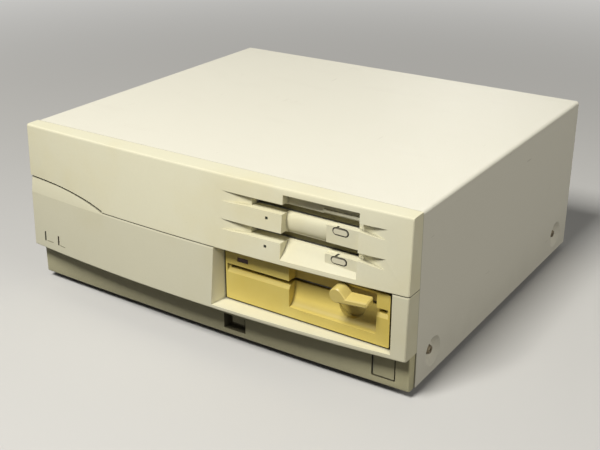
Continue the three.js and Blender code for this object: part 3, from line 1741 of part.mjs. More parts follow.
function hardDisk() {
  const low = hardDiskBottom();
  const front = depthAt(hardFront);
  const high = low + hardHeight;
  const back = front + hardLength;
  const right = hardLeft + hardWidth;
  const body = block(hardLeft, right, front, back, low, high - hardLid);
  const lid = block(
    hardLeft + hardLid, right - hardLid,
    front + hardLid, back - hardLid * 3,
    high - hardLid - mergeTolerance, high,
  );
  const plugLow = low + hardPlugRise;
  const plugs = [plugLow, plugLow + driveplugHeight];
  const plug = block(...diskCableSpan(), back - overrun, back + driveplugDepth, ...plugs);
  return joined([body, lid, plug]);
}

function hardDiskBracket() {
  const floor = chassisFloor + steel + gap;
  const front = depthAt(hardFront);
  const left = hardLeft - gap;
  const right = hardLeft + hardWidth + gap;
  const shelf = floor + hardRise;
  const high = shelf + hardHeight / 2;
  const shape = polygon([
    [left - cageToe, floor],
    [left, floor],
    [left, shelf],
    [right, shelf],
    [right, floor],
    [right + cageToe, floor],
    [right + cageToe, floor + steel],
    [right + steel, floor + steel],
    [right + steel, high],
    [right, high],
    [right, shelf + steel],
    [left, shelf + steel],
    [left, high],
    [left - steel, high],
    [left - steel, floor + steel],
    [left - cageToe, floor + steel],
  ]);
  const inset = cageHole / 2;
  const air = block(
    left + inset, right - inset,
    front + inset, front + hardLength - inset,
    shelf - overrun, shelf + steel + overrun,
  );
  return prismY(shape, front, front + hardLength).subtract(air);
}

// Flat cables
function cableSpan(grow = 0) {
  return [cableLeft - grow, cableLeft + cableWidth + grow];
}

function diskCableSpan(grow = 0) {
  return [hardLeft + hardLid * 2 - grow, hardLeft + hardLid * 2 + cableWidth + grow];
}

function cableDrop() {
  return largeDriveBack() + cableThickness;
}

// Cable from the small drives over the large one and down to the board
function driveCable() {
  const start = smallFrontY() + smallLength + driveplugDepth + gap;
  const down = cableDrop();
  const level = smallBottom(1) + driveplugRise + driveplugHeight / 2;
  const low = boardTop() + boardThickness + gap;
  const outer = cableBend + cableThickness;
  const shape = new THREE.Shape();
  shape.moveTo(start, level);
  shape.lineTo(down + cableThickness - outer, level);
  shape.absarc(down + cableThickness - outer, level - outer, outer, Math.PI / 2, 0, true);
  shape.lineTo(down + cableThickness, low);
  shape.lineTo(down, low);
  shape.lineTo(down, level - outer);
  shape.absarc(down + cableThickness - outer, level - outer, cableBend, 0, Math.PI / 2);
  shape.lineTo(start, level - cableThickness);
  return prismX(shape, ...cableSpan(), bendFacets);
}

function diskHeaderRange() {
  const y = depthAt(boardFront) + headerHeight / 2;
  return [y, y + headerHeight];
}

// Cable from the hard disk's plug, arched down to the board
function diskCable() {
  const start = depthAt(hardFront) + hardLength + driveplugDepth + gap;
  const level = hardDiskBottom() + hardPlugRise + driveplugHeight / 2 + cableThickness / 2;
  const [headerFront, headerBack] = diskHeaderRange();
  const down = (headerFront + headerBack) / 2 - cableThickness / 2;
  const low = boardTop() + headerHeight + gap;
  const room = Math.min(level - low - cableThickness, down + cableThickness - start);
  const outer = Math.min(cableBend + cableThickness, room);
  const inner = outer - cableThickness;
  const shape = new THREE.Shape();
  shape.moveTo(start, level);
  shape.lineTo(down + cableThickness - outer, level);
  shape.absarc(down + cableThickness - outer, level - outer, outer, Math.PI / 2, 0, true);
  shape.lineTo(down + cableThickness, low);
  shape.lineTo(down, low);
  shape.lineTo(down, level - outer);
  shape.absarc(down + cableThickness - outer, level - outer, inner, 0, Math.PI / 2);
  shape.lineTo(start, level - cableThickness);
  return prismX(shape, ...diskCableSpan(), bendFacets);
}

// Speaker on the chassis floor
function speaker() {
  const low = chassisFloor + steel + gap;
  const profile = [
    [0, low],
    [speakerRadius, low],
    [speakerRadius, low + speakerRim],
    [magnetRadius, low + magnetRise],
    [magnetRadius, low + speakerHeight],
    [0, low + speakerHeight],
  ];
  const geometry = new THREE.LatheGeometry(profile.map(([r, z]) => new THREE.Vector2(r, z)), discSides);
  geometry.rotateX(Math.PI / 2);
  geometry.translate(speakerX, depthAt(speakerDepth), 0);
  return solidOf(geometry);
}

// Finishes
const upperLook = look(warmWhite, 0.6, 0);
const lowerLook = look(paleBeige, 0.6, 0);
const paintLook = look(paintBeige, 0.5, 0);
const steelLook = look(plated, 0.4, 0.9);
const blackLook = look(dark, 0.6, 0);
const yellowLook = look(yellowed, 0.5, 0);
const boardLook = look(boardGreen, 0.5, 0);
const lampLook = look(lampBrown, 0.3, 0);
const cableLook = look(cableGrey, 0.6, 0);

// The assembly
const group = new THREE.Group();
const add = (name, solid, finish) => group.add(piece(name, solid, finish));
add('upper_front_panel', upperPanel(), upperLook);
add('lower_front_panel', lowerPanel(), lowerLook);
add('plinth_panel', plinthPanel(), lowerLook);
add('top_cover', topCover(), paintLook);
add('chassis_tray', chassisTray(), steelLook);
add('front_subframe', subframe(), steelLook);
add('rear_panel', rearPanel(), steelLook);
footPlaces().forEach(([name, x, y]) => add(name, foot(x, y), blackLook));
screwPlaces().forEach(([side, y]) => {
  const name = `cover_screw_${y < 0 ? 'front' : 'rear'}_${side < 0 ? 'left' : 'right'}`;
  add(name, coverScrew(side, y), steelLook);
});
add('power_button', powerButton(), lowerLook);
add('power_switch_rod', powerRod(), blackLook);
add('reset_button', resetButton(), lowerLook);
['power_lamp_guide', 'disk_lamp_guide'].forEach((name, i) => add(name, frontLamp(slitPlaces[i]), lampLook));
[0, 1].forEach(unit => {
  add(`small_drive_${unit + 1}`, smallDrive(unit), steelLook);
  add(`small_drive_flap_${unit + 1}`, smallFlap(unit), lowerLook);
  add(`eject_button_${unit + 1}`, ejectButton(unit), lowerLook);
  add(`small_drive_lamp_${unit + 1}`, smallLamp(unit), blackLook);
});
add('large_drive', largeDrive(), steelLook);
add('large_drive_face', largeFace(), yellowLook);
add('large_drive_lever', largeLever(), yellowLook);
add('large_drive_lamp', largeLamp(), lampLook);
add('drive_cage', driveCage(), steelLook);
add('hard_disk', hardDisk(), steelLook);
add('hard_disk_bracket', hardDiskBracket(), steelLook);
add('power_supply', powerSupply(), steelLook);
add('fan_frame', fanFrame(), blackLook);
add('fan_rotor', fanRotor(), blackLook);
add('power_inlet', mainsSocket(inletCentreZ, inletPinShares), blackLook);
add('power_outlet', mainsSocket(outletCentreZ, []), blackLook);
add('main_board', mainBoard(), boardLook);
add('processor', processor(), blackLook);
add('heat_sink', heatSink(), steelLook);
memoryPlaces().forEach((y, i) => add(`memory_module_${i + 1}`, memoryModule(y), boardLook));
add('riser_board', riserBoard(), boardLook);
cardLevels().forEach((z, i) => add(`slot_cover_${i + 1}`, slotCover(z), steelLook));
socketTable().forEach(socket => add(socket[0], rearSocket(socket), blackLook));
add('backup_battery', backupBattery(), steelLook);
add('speaker', speaker(), blackLook);
add('drive_cable', driveCable(), cableLook);
add('hard_disk_cable', diskCable(), cableLook);

export default group;
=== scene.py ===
# %% [markdown]
# # A desktop home computer
#
# The measured model is the frame of this scene: every case part, drive, socket and screw comes from it,
# at its true size and place. This lesson gives those parts their surfaces, adds the small fittings that a
# maker buys in, such as contact pins and screws, and sets up the light and the camera. All lengths are in
# metres.

# %% Load the measured model
import math

import bmesh
import bpy
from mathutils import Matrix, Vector


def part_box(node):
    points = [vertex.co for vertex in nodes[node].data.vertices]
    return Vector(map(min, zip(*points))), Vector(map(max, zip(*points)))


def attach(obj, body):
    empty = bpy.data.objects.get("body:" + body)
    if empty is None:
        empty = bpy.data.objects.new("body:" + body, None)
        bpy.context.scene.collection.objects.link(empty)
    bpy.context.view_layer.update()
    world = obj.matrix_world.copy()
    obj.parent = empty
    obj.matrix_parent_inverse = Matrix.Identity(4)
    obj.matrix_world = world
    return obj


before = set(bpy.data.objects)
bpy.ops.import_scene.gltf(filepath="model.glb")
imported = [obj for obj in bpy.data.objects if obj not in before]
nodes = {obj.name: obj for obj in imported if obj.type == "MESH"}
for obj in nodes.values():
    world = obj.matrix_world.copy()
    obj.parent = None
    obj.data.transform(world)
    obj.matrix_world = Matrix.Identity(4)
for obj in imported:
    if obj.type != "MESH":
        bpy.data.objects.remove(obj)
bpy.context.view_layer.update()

print("parts in the model:", len(nodes))

# %% [markdown]
# ## Working units
#
# Case makers work in millimetres. One name for a millimetre keeps the sizes below readable, and a small
# reader gives back the corners of any part, so that a fitting is placed from the part that carries it.

# %% A millimetre, and the corners of a part
MM = 0.001


def corners(name):
    """Lowest and highest corner of a part."""
    low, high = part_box(name)
    return Vector(low), Vector(high)


cover_low, cover_high = corners("top_cover")
print("cover, mm:", [round(side / MM, 1) for side in cover_high - cover_low])

# %% [markdown]
# ## A short way to write a surface
#
# A surface in Blender is a net of nodes. Drawing it by hand is slow, and a long list of links in code is
# hard to read. Here one small class stands for a value on its way between nodes, so that a plain sum such
# as `grain * 0.3 + 0.5` adds the Math nodes by itself.

# %% A value that can be used in sums
class Wire:
    """One value between nodes. A sum or product with it adds a Math node."""

    def __init__(self, finish, socket):
        self.finish = finish
        self.socket = socket

    def sum(self, operation, first, second):
        return self.finish.add("ShaderNodeMath", {"operation": operation}, {0: first, 1: second})

    def __add__(self, other):
        return self.sum("ADD", self, other)

    def __radd__(self, other):
        return self.sum("ADD", other, self)

    def __sub__(self, other):
        return self.sum("SUBTRACT", self, other)

    def __rsub__(self, other):
        return self.sum("SUBTRACT", other, self)

    def __mul__(self, other):
        return self.sum("MULTIPLY", self, other)

    def __rmul__(self, other):
        return self.sum("MULTIPLY", other, self)

    def __truediv__(self, other):
        return self.sum("DIVIDE", self, other)

    def __pow__(self, other):
        return self.sum("POWER", self, other)

    def __abs__(self):
        return self.sum("ABSOLUTE", self, 0.0)

    def larger(self, other):
        return self.sum("MAXIMUM", self, other)


print("a Wire knows:", [name.strip("_") for name, method in vars(Wire).items() if callable(method)])

# %% [markdown]
# ## One finish
#
# A material starts as one plain surface. The second class holds that surface and adds every other node
# through one method, which takes the kind of node, its settings and the values or links of its sockets.
# The patterns are methods named for what they do: soft clouds, a smooth step, a blend of two colours, a
# relief. Clouds and relief are in real units, so that a grain keeps its size on a part of any size.

# %% A finish made of nodes
class Finish:
    """The nodes of one material, or of the world, described in code."""

    def __init__(self, name, world=None):
        self.material = world or bpy.data.materials.new(name)
        self.material.use_nodes = True
        self.tree = self.material.node_tree
        self.surface = self.tree.nodes["Background" if world else "Principled BSDF"]
        self.place = self.coordinate("Object")

    def add(self, kind, settings=None, values=None, output=0):
        """Adds a node: its settings first, then the values or links of its sockets."""
        node = self.tree.nodes.new(kind)
        for key, value in (settings or {}).items():
            setattr(node, key, value)
        for key, value in (values or {}).items():
            self.join(node.inputs[key], value)
        return Wire(self, node.outputs[output])

    def join(self, socket, value):
        if isinstance(value, Wire):
            self.tree.links.new(value.socket, socket)
        else:
            socket.default_value = value

    def set(self, **values):
        """Sets sockets of the surface, with an underscore for each space."""
        for key, value in values.items():
            self.join(self.surface.inputs[key.replace("_", " ")], value)

    def coordinate(self, kind):
        """Where a point lies on the part, or which way the part faces there."""
        return self.add("ShaderNodeTexCoord", output=kind)

    def axis(self, name, vector=None):
        """One axis of the place on the part, or of another vector."""
        return self.add("ShaderNodeSeparateXYZ", None, {0: vector or self.place}, output=name)

    def stretched(self, across, along, up):
        """The place on the part, drawn out by a factor on each axis."""
        values = {0: self.place, 1: (across, along, up)}
        return self.add("ShaderNodeVectorMath", {"operation": "MULTIPLY"}, values)

    def noise(self, scale, detail=2.0, place=None):
        """Soft cloudy pattern from 0 to 1; scale is in patches per metre."""
        values = {"Vector": place or self.place, "Scale": scale, "Detail": detail}
        return self.add("ShaderNodeTexNoise", None, values)

    def step(self, value, start, end):
        """0 below start, 1 above end, smooth between them."""
        values = {0: value, 1: start, 2: end, 3: 0.0, 4: 1.0}
        return self.add("ShaderNodeMapRange", {"interpolation_type": "SMOOTHSTEP"}, values)

    def blend(self, first, second, factor):
        """Mixes two colours."""
        values = {0: factor, 6: first, 7: second}
        return self.add("ShaderNodeMix", {"data_type": "RGBA"}, values, output=2)

    def shade(self, tone, factor):
        """Multiplies a colour by a grey value."""
        grey = self.add("ShaderNodeCombineXYZ", None, {0: factor, 1: factor, 2: factor})
        values = {0: 1.0, 6: tone, 7: grey}
        return self.add("ShaderNodeMix", {"data_type": "RGBA", "blend_type": "MULTIPLY"}, values, output=2)

    def bump(self, height, depth, strength=1.0):
        """Turns a height from 0 to 1 into relief of that depth in metres."""
        values = {"Height": height, "Distance": depth, "Strength": strength}
        self.set(Normal=self.add("ShaderNodeBump", None, values))


print("patterns of a Finish:", [name for name in vars(Finish) if not name.startswith("_")])

# %% [markdown]
# ## Colours as the eye gives them
#
# A colour is matched as it looks on a screen, from 0 to 255. A shader counts light instead, in which
# the middle of that scale is only about a fifth. One function changes the first into the second, so that
# every finish below can be written in the numbers of a colour picker.

# %% Screen colour to light
def colour(red, green, blue):
    """Screen colour from 0 to 255 as the linear colour that a shader takes."""
    shares = [part / 255 for part in (red, green, blue)]
    return tuple(s / 12.92 if s < 0.04045 else ((s + 0.055) / 1.055) ** 2.4 for s in shares) + (1.0,)


print("warm white in linear light:", [round(part, 3) for part in colour(222, 217, 186)])

# %% [markdown]
# ## Dirt and painted shade
#
# Joints, dimples, recesses and the space under ledges are darkened. In joints this is partly the dirt
# that a cloth leaves behind. In recesses, in dimples and under ledges it is painted shade. Painted by hand,
# such marks would have to be painted again after each change of shape. Ambient occlusion finds the places
# from the shape itself, because it tells how open the space round a point is. The slopes that face up are
# darkened as painted shade, found by how far they face up. The rim of a push-button carries a painted shadow
# of its gap, found by the distance from the line through the middle of its rounded form.

# %% Joints, slopes and rims
OPENNESS_SAMPLES = 8
JOINT_START, JOINT_FULL = 0.25, 0.75
SLOPE_START, SLOPE_FULL = 0.35, 0.65
FLAT_START, FLAT_FULL = 0.85, 0.97
FLAT_LOSS = 0.7


def tight_spots(finish, reach):
    """1 deep in a joint, 0 on an open face."""
    settings = {"samples": OPENNESS_SAMPLES}
    openness = finish.add("ShaderNodeAmbientOcclusion", settings, {"Distance": reach}, "AO")
    return finish.step(1 - openness, JOINT_START, JOINT_FULL)


def upward_slopes(finish):
    """1 on a face that slopes up, less on a flat top, 0 on an upright face."""
    up = finish.axis("Z", finish.coordinate("Normal"))
    flat = finish.step(up, FLAT_START, FLAT_FULL)
    return finish.step(up, SLOPE_START, SLOPE_FULL) * (1 - FLAT_LOSS * flat)


def button_rim(finish, part, width):
    """1 on the rim of a part with half-round ends, 0 inside it."""
    low, high = corners(part)
    size = high - low
    share = finish.coordinate("Generated")
    across = (finish.axis("X", share) - 0.5) * size.x
    up = (finish.axis("Z", share) - 0.5) * size.z
    beyond = (abs(across) - (size.x - size.z) / 2).larger(0.0)
    reach = (beyond * beyond + up * up) ** 0.5
    return finish.step(reach, size.z / 2 - width * 1.5, size.z / 2 - width * 0.5)


# Darkening starts below this openness: dirt in the joints, painted shade in recesses and under ledges.
print("dirt begins where a point is less open than:", 1 - JOINT_START)

# %% [markdown]
# ## Moulded front panels
#
# The front is injection-moulded in a pale warm plastic. The mould was etched, which leaves a very fine
# grain and takes the shine off, and thirty years of daylight turn such plastic slightly yellow, unevenly. A
# picture of real grain would tie the finish to one size. A noise pattern in real units stays right at any
# distance. One function serves all the mouldings: the two panels; the plinth, which stands back in the shade
# and is painted darker than the lower panel, with painted shade under its ledge; the eject buttons, with a
# painted shadow of the gap round their rims; the flaps in the disk slots, painted dark as shade; and the
# strongly yellowed face and lever of the large drive. The band along the top edge of the lower panel, above
# a fine crease, is painted paler as painted light, as on a face that looks a little more up.

# %% Etched plastic
CLOUDS_PER_METRE = 7
PATCHES_PER_METRE = 38
FLECKS_PER_METRE = 420
DUST_PER_METRE = 900
ETCH_PER_METRE = 2600
ETCH_DEPTH = 0.02 * MM
DIRT_AND_SHADE_REACH = 5 * MM
PLINTH_SHADE_REACH = 45 * MM
RIM_WIDTH = 0.4 * MM
CREASE_BLUR = 0.2 * MM
CREASE_HEIGHT = corners("upper_front_panel")[0].z - 1.9 * MM
CREASE_PAINTED_LIGHT = 0.13
DUST = colour(120, 112, 88)
DUST_COVER = 0.25
# Colour of the dirt in joints and of the painted shade in recesses and under ledges.
DIRT_AND_SHADE = colour(52, 46, 32)
RIM_SHADOW = colour(38, 34, 24)
DARKENING_COVER = 0.85


def etched_plastic(
    name, fresh, aged, aging=0.5, roughness=0.55, etch=1.0,
    reach=DIRT_AND_SHADE_REACH, crease=None, slope_shade=0.0, rim_of=None,
):
    """Moulded plastic. One argument gives how much darker painted shade makes the slopes that face up."""
    finish = Finish(name)
    clouds = finish.noise(CLOUDS_PER_METRE, 3.0)
    patches = finish.noise(PATCHES_PER_METRE, 4.0)
    flecks = finish.noise(FLECKS_PER_METRE, 3.0)
    yellow = finish.step(clouds * 0.7 + patches * 0.3, 0.75 - aging * 0.6, 1.1 - aging * 0.6)
    tone = finish.shade(finish.blend(fresh, aged, yellow), 0.965 + flecks * 0.035 + patches * 0.035)
    dust = finish.step(finish.noise(DUST_PER_METRE, 1.0), 0.72, 0.8) * finish.step(patches, 0.5, 0.7)
    tone = finish.blend(tone, DUST, dust * DUST_COVER)
    # Painted light: the band above the crease is paler, as on a face that looks a little more up.
    if crease:
        above = finish.step(finish.axis("Z"), crease - CREASE_BLUR, crease + CREASE_BLUR)
        tone = finish.shade(tone, 1 + CREASE_PAINTED_LIGHT * above)
    # Painted shade: the slopes that face up are darker.
    if slope_shade:
        tone = finish.shade(tone, 1 - slope_shade * upward_slopes(finish))
    # Joints and recesses darkened: dirt in the joints, painted shade in recesses and under ledges.
    tone = finish.blend(tone, DIRT_AND_SHADE, tight_spots(finish, reach) * DARKENING_COVER)
    # Painted shadow of the gap round the rim of a push-button.
    if rim_of:
        tone = finish.blend(tone, RIM_SHADOW, button_rim(finish, rim_of, RIM_WIDTH) * DARKENING_COVER)
    grain = finish.noise(ETCH_PER_METRE, 2.0)
    finish.set(Base_Color=tone, Roughness=roughness + flecks * 0.1 + (grain - 0.5) * 0.12)
    finish.set(IOR=1.48, Specular_IOR_Level=0.45)
    finish.bump(grain * 0.8 + flecks * 0.2, ETCH_DEPTH * etch)
    return finish.material


plastics = {
    "upper": etched_plastic(
        "upper_panel_plastic", colour(229, 225, 197), colour(223, 215, 177), slope_shade=0.16
    ),
    "lower": etched_plastic(
        "lower_panel_plastic", colour(217, 213, 187), colour(210, 204, 172), crease=CREASE_HEIGHT
    ),
    # Plinth, power and reset buttons: the lower panel's plastic painted darker as painted shade, with a wide
    # reach that paints shade under the ledge.
    "plinth": etched_plastic(
        "plinth_plastic_shaded", colour(196, 191, 156), colour(188, 181, 141), reach=PLINTH_SHADE_REACH
    ),
    "button": etched_plastic(
        "button_plastic", colour(224, 219, 194), colour(218, 210, 178),
        roughness=0.5, etch=0.5, rim_of="eject_button_1",
    ),
    # The flaps are painted dark, as painted shade inside the disk slots.
    "flap": etched_plastic(
        "flap_plastic_shaded", colour(126, 119, 76), colour(116, 107, 62), roughness=0.5, etch=0.5
    ),
    "drive": etched_plastic(
        "yellowed_drive_plastic", colour(218, 200, 115), colour(210, 186, 90),
        aging=0.6, roughness=0.42, etch=0.5, slope_shade=0.25,
    ),
    "lever": etched_plastic(
        "yellowed_lever_plastic", colour(212, 196, 126), colour(204, 182, 98),
        aging=0.6, roughness=0.36, etch=0.3, slope_shade=0.1,
    ),
}
print("plastics:", sorted(plastics))

# %% [markdown]
# ## Painted steel cover
#
# The cover is folded from sheet steel and sprayed with a textured paint: soft round grains about half a
# millimetre across. Voronoi cells alone look like scales, and noise alone looks like clouds, so the grain is
# a smooth noise with its peaks pressed flat. The top also carries a few faint rub marks from the display
# that stood on it, and the foot of each side has dull splashes. The pressed dimples round the cover screws
# and the cover's tight corners are darkened as painted shade.

# %% Grained paint
PAINT_GRAIN_PER_METRE = 1500
PAINT_GRAIN_DEPTH = 0.05 * MM
PAINT_CLOUDS_PER_METRE = 5
RUBS_PER_METRE = 14
SCRATCHES_PER_METRE = 60
SPLASHES_PER_METRE = 30
DIMPLE_REACH = 7 * MM
DIMPLE_SHADE = colour(96, 88, 68)
SPLASH = colour(132, 124, 100)
SPLASH_TOP, SPLASH_FOOT = 60 * MM, 6 * MM


def grained_paint(name, fresh, worn):
    """Sprayed paint with round grains, rubs, scratches, splashes and painted shade in its dimples."""
    finish = Finish(name)
    clouds = finish.noise(PAINT_CLOUDS_PER_METRE, 4.0)
    beads = finish.step(finish.noise(PAINT_GRAIN_PER_METRE, 1.5), 0.38, 0.66)
    rubs = finish.step(finish.noise(RUBS_PER_METRE, 5.0, finish.stretched(1, 3, 1)), 0.56, 0.74)
    streaks = finish.noise(SCRATCHES_PER_METRE, 2.0, finish.stretched(9, 0.35, 4))
    scratches = finish.step(streaks, 0.745, 0.76)
    low_down = finish.step(finish.axis("Z"), SPLASH_TOP, SPLASH_FOOT)
    splashes = low_down * finish.noise(SPLASHES_PER_METRE, 5.0)
    tone = finish.blend(fresh, worn, clouds * 0.5 + rubs * 0.4)
    tone = finish.blend(tone, SPLASH, splashes * 0.2 + scratches * 0.25)
    # Painted shade in the dimples round the cover screws and in the cover's tight corners.
    tone = finish.blend(tone, DIMPLE_SHADE, tight_spots(finish, DIMPLE_REACH) * 0.7)
    tone = finish.shade(tone, 0.975 + beads * 0.035)
    finish.set(Base_Color=tone, Roughness=0.56 + beads * 0.08 - rubs * 0.1, Specular_IOR_Level=0.3)
    finish.bump(beads, PAINT_GRAIN_DEPTH)
    return finish.material


cover_paint = grained_paint("cover_paint", colour(229, 226, 210), colour(224, 220, 203))
print("paint grains per metre:", PAINT_GRAIN_PER_METRE)

# %% [markdown]
# ## Plated sheet and bright metal
#
# The chassis, rear panel and cage are zinc plated. Plating shows large faint crystals and rolling lines in
# one direction, and its dull spots differ in roughness more than in colour. Screws are the same metal
# polished further, so the same recipe takes a colour and a roughness, and it serves the heat sink and the
# gold contacts too. The four cover screws at the sides have gone dull and brown.

# %% Plated steel
CRYSTALS_PER_METRE = 160
ROLLING_LINES_PER_METRE = 900
DULL_SPOTS_PER_METRE = 26
PLATING_RELIEF = 0.01 * MM


def plated_steel(name, bright, dull, roughness=0.38):
    """Bright metal with faint crystals, rolling lines and dull spots."""
    finish = Finish(name)
    values = {"Vector": finish.place, "Scale": CRYSTALS_PER_METRE}
    crystal = finish.axis("X", finish.add("ShaderNodeTexVoronoi", {"feature": "F1"}, values, "Color"))
    lines = finish.noise(ROLLING_LINES_PER_METRE, 2.0, finish.stretched(0.04, 1, 1))
    dulled = finish.step(finish.noise(DULL_SPOTS_PER_METRE, 5.0), 0.45, 0.75)
    finish.set(Base_Color=finish.blend(bright, dull, dulled * 0.6 + crystal * 0.3), Metallic=1.0)
    finish.set(Roughness=roughness + crystal * 0.08 + dulled * 0.12 + lines * 0.06)
    finish.bump(lines * 0.5 + crystal * 0.5, PLATING_RELIEF, 0.6)
    return finish.material


metals = {
    "sheet": plated_steel("plated_sheet", colour(196, 198, 194), colour(164, 166, 160)),
    "housing": plated_steel("drive_housing_steel", colour(204, 204, 200), colour(176, 176, 170), 0.34),
    "screw": plated_steel("screw_steel", colour(206, 204, 196), colour(150, 146, 134), 0.3),
    "dulled": plated_steel("dulled_screw_steel", colour(128, 118, 98), colour(88, 80, 66), 0.4),
    "fins": plated_steel("cast_aluminium", colour(200, 203, 206), colour(180, 183, 186), 0.42),
    "gold": plated_steel("contact_gold", colour(226, 186, 98), colour(206, 166, 82), 0.24),
}
print("metals:", sorted(metals))

# %% [markdown]
# ## Dark plastic and rubber
#
# The socket bodies and the fan are black plastic with a satin mould skin, the feet are rubber that picks up
# dust, and the flat cables have a grey vinyl sheath. The three differ in the size and depth of their grain
# and in how much dust shows, so one function with those as its values makes them all.

# %% Black mouldings and rubber
SETTLED_DUST_PER_METRE = 60


def dark_moulding(name, base, dusty, roughness, grain_per_metre, grain_depth):
    """Satin plastic or rubber with settled dust."""
    finish = Finish(name)
    grain = finish.noise(grain_per_metre, 2.0)
    dust = finish.step(finish.noise(SETTLED_DUST_PER_METRE, 4.0), 0.5, 0.8)
    finish.set(Base_Color=finish.blend(base, dusty, dust * 0.5 + grain * 0.08))
    finish.set(Roughness=roughness + dust * 0.15 + grain * 0.05)
    finish.bump(grain, grain_depth)
    return finish.material


black_plastic = dark_moulding(
    "black_plastic", colour(34, 34, 33), colour(58, 56, 52), 0.4, 1800, 0.012 * MM
)
foot_rubber = dark_moulding(
    "foot_rubber", colour(30, 29, 28), colour(72, 68, 60), 0.75, 900, 0.05 * MM
)
flat_cable = dark_moulding(
    "flat_cable_sheath", colour(150, 152, 150), colour(128, 128, 124), 0.5, 700, 0.02 * MM
)
print("dark finishes:", black_plastic.name, foot_rubber.name, flat_cable.name)

# %% [markdown]
# ## Tinted lenses
#
# The lamps are off, so a lens is only a dark tinted plug that shows the dark behind it. Real glass would need
# a lit space behind it to look right. A dark satin plastic under a thin uneven coat reads the same at this
# size, and it keeps its look in the exported model.

# %% Tinted lens
LENS_RELIEF = 0.01 * MM
SMEARS_PER_METRE = 300


def tinted_lens(name, glass, depth):
    """Dark satin plastic under a thin uneven coat."""
    finish = Finish(name)
    smear = finish.noise(SMEARS_PER_METRE, 3.0)
    finish.set(Base_Color=finish.blend(glass, depth, smear * 0.5), Roughness=0.3 + smear * 0.12)
    finish.set(Coat_Weight=0.1 + smear * 0.1, Coat_Roughness=0.2, Specular_IOR_Level=0.2)
    finish.bump(smear, LENS_RELIEF, 0.5)
    return finish.material


amber_lens = tinted_lens("dark_amber_lens", colour(74, 44, 30), colour(46, 28, 22))
green_lens = tinted_lens("dark_green_lens", colour(40, 52, 36), colour(28, 36, 28))
print("lenses:", amber_lens.name, green_lens.name)

# %% [markdown]
# ## Circuit boards
#
# A board is a glass-cloth laminate with copper tracks under green lacquer. The tracks run on the pitch of
# the chips, in one direction or the other. A zig-zag wave along each axis gives parallel tracks, and a
# slow noise chooses which of the two shows, so that they turn corners as real ones do.

# %% Board laminate with tracks
TRACK_PITCH = 2.54 * MM
TRACK_HEIGHT = 0.035 * MM
WEAVE_PER_METRE = 700
BENDS_PER_METRE = 60


def laminate(name, lacquer, copper):
    """Lacquered glass cloth with copper tracks."""
    finish = Finish(name)
    weave = finish.noise(WEAVE_PER_METRE, 1.0)
    bend = finish.step(finish.noise(BENDS_PER_METRE, 0.0), 0.48, 0.52)
    settings = {"operation": "PINGPONG"}
    waves = [
        finish.add("ShaderNodeMath", settings, {0: finish.axis(side) / TRACK_PITCH, 1: 0.5})
        for side in ("X", "Y")
    ]
    tracks = finish.step(waves[0] * bend + waves[1] * (1 - bend), 0.22, 0.26)
    tone = finish.shade(finish.blend(lacquer, copper, tracks), 0.9 + weave * 0.2)
    finish.set(Base_Color=tone, Roughness=0.32 + weave * 0.1)
    finish.bump(tracks, TRACK_HEIGHT)
    return finish.material


board = laminate("board_laminate", colour(26, 74, 44), colour(44, 104, 62))
print("track pitch, mm:", round(TRACK_PITCH / MM, 2))

# %% [markdown]
# ## Socket plastic with a steel shell
#
# Each wide rear socket is one moulding with a bright pressed shell round its mouth, which stands through
# the rear panel. The model has them as one part, so the finish changes from black to steel where the part
# passes the panel: a step on the distance from the front tells the two apart.

# %% Black body, steel mouth
SHELL_START, SHELL_FULL = 1.4 * MM, 1.3 * MM
SHELL_RELIEF = 0.01 * MM
SHELL_STAINS_PER_METRE = 220
SHELL_GRAIN_PER_METRE = 1500
panel_back = corners("rear_panel")[1].y


def shelled_socket(name):
    """Black plastic inside the case, bright metal outside it."""
    finish = Finish(name)
    outside = finish.step(finish.axis("Y"), panel_back - SHELL_START, panel_back - SHELL_FULL)
    stain = finish.noise(SHELL_STAINS_PER_METRE, 3.0)
    metal = finish.blend(colour(212, 212, 206), colour(182, 181, 172), stain)
    plastic = finish.blend(colour(34, 34, 33), colour(52, 50, 47), stain)
    finish.set(Base_Color=finish.blend(plastic, metal, outside), Metallic=outside)
    finish.set(Roughness=0.42 - outside * 0.12 + stain * 0.1)
    finish.bump(finish.noise(SHELL_GRAIN_PER_METRE, 2.0), SHELL_RELIEF)
    return finish.material


socket_shell = shelled_socket("shelled_socket")
print("shell starts behind y, mm:", round((panel_back - SHELL_START) / MM, 1))

# %% [markdown]
# ## Dress the parts
#
# Every part of the model now takes its finish. A list of pairs, a material and the parts that wear it, is
# easier to check than a line for each part, and a count at the end shows that none was left out.

# %% Which part takes which finish
def names_with(*starts):
    """Parts whose names start with any of these."""
    return [name for name in nodes if name.startswith(starts)]


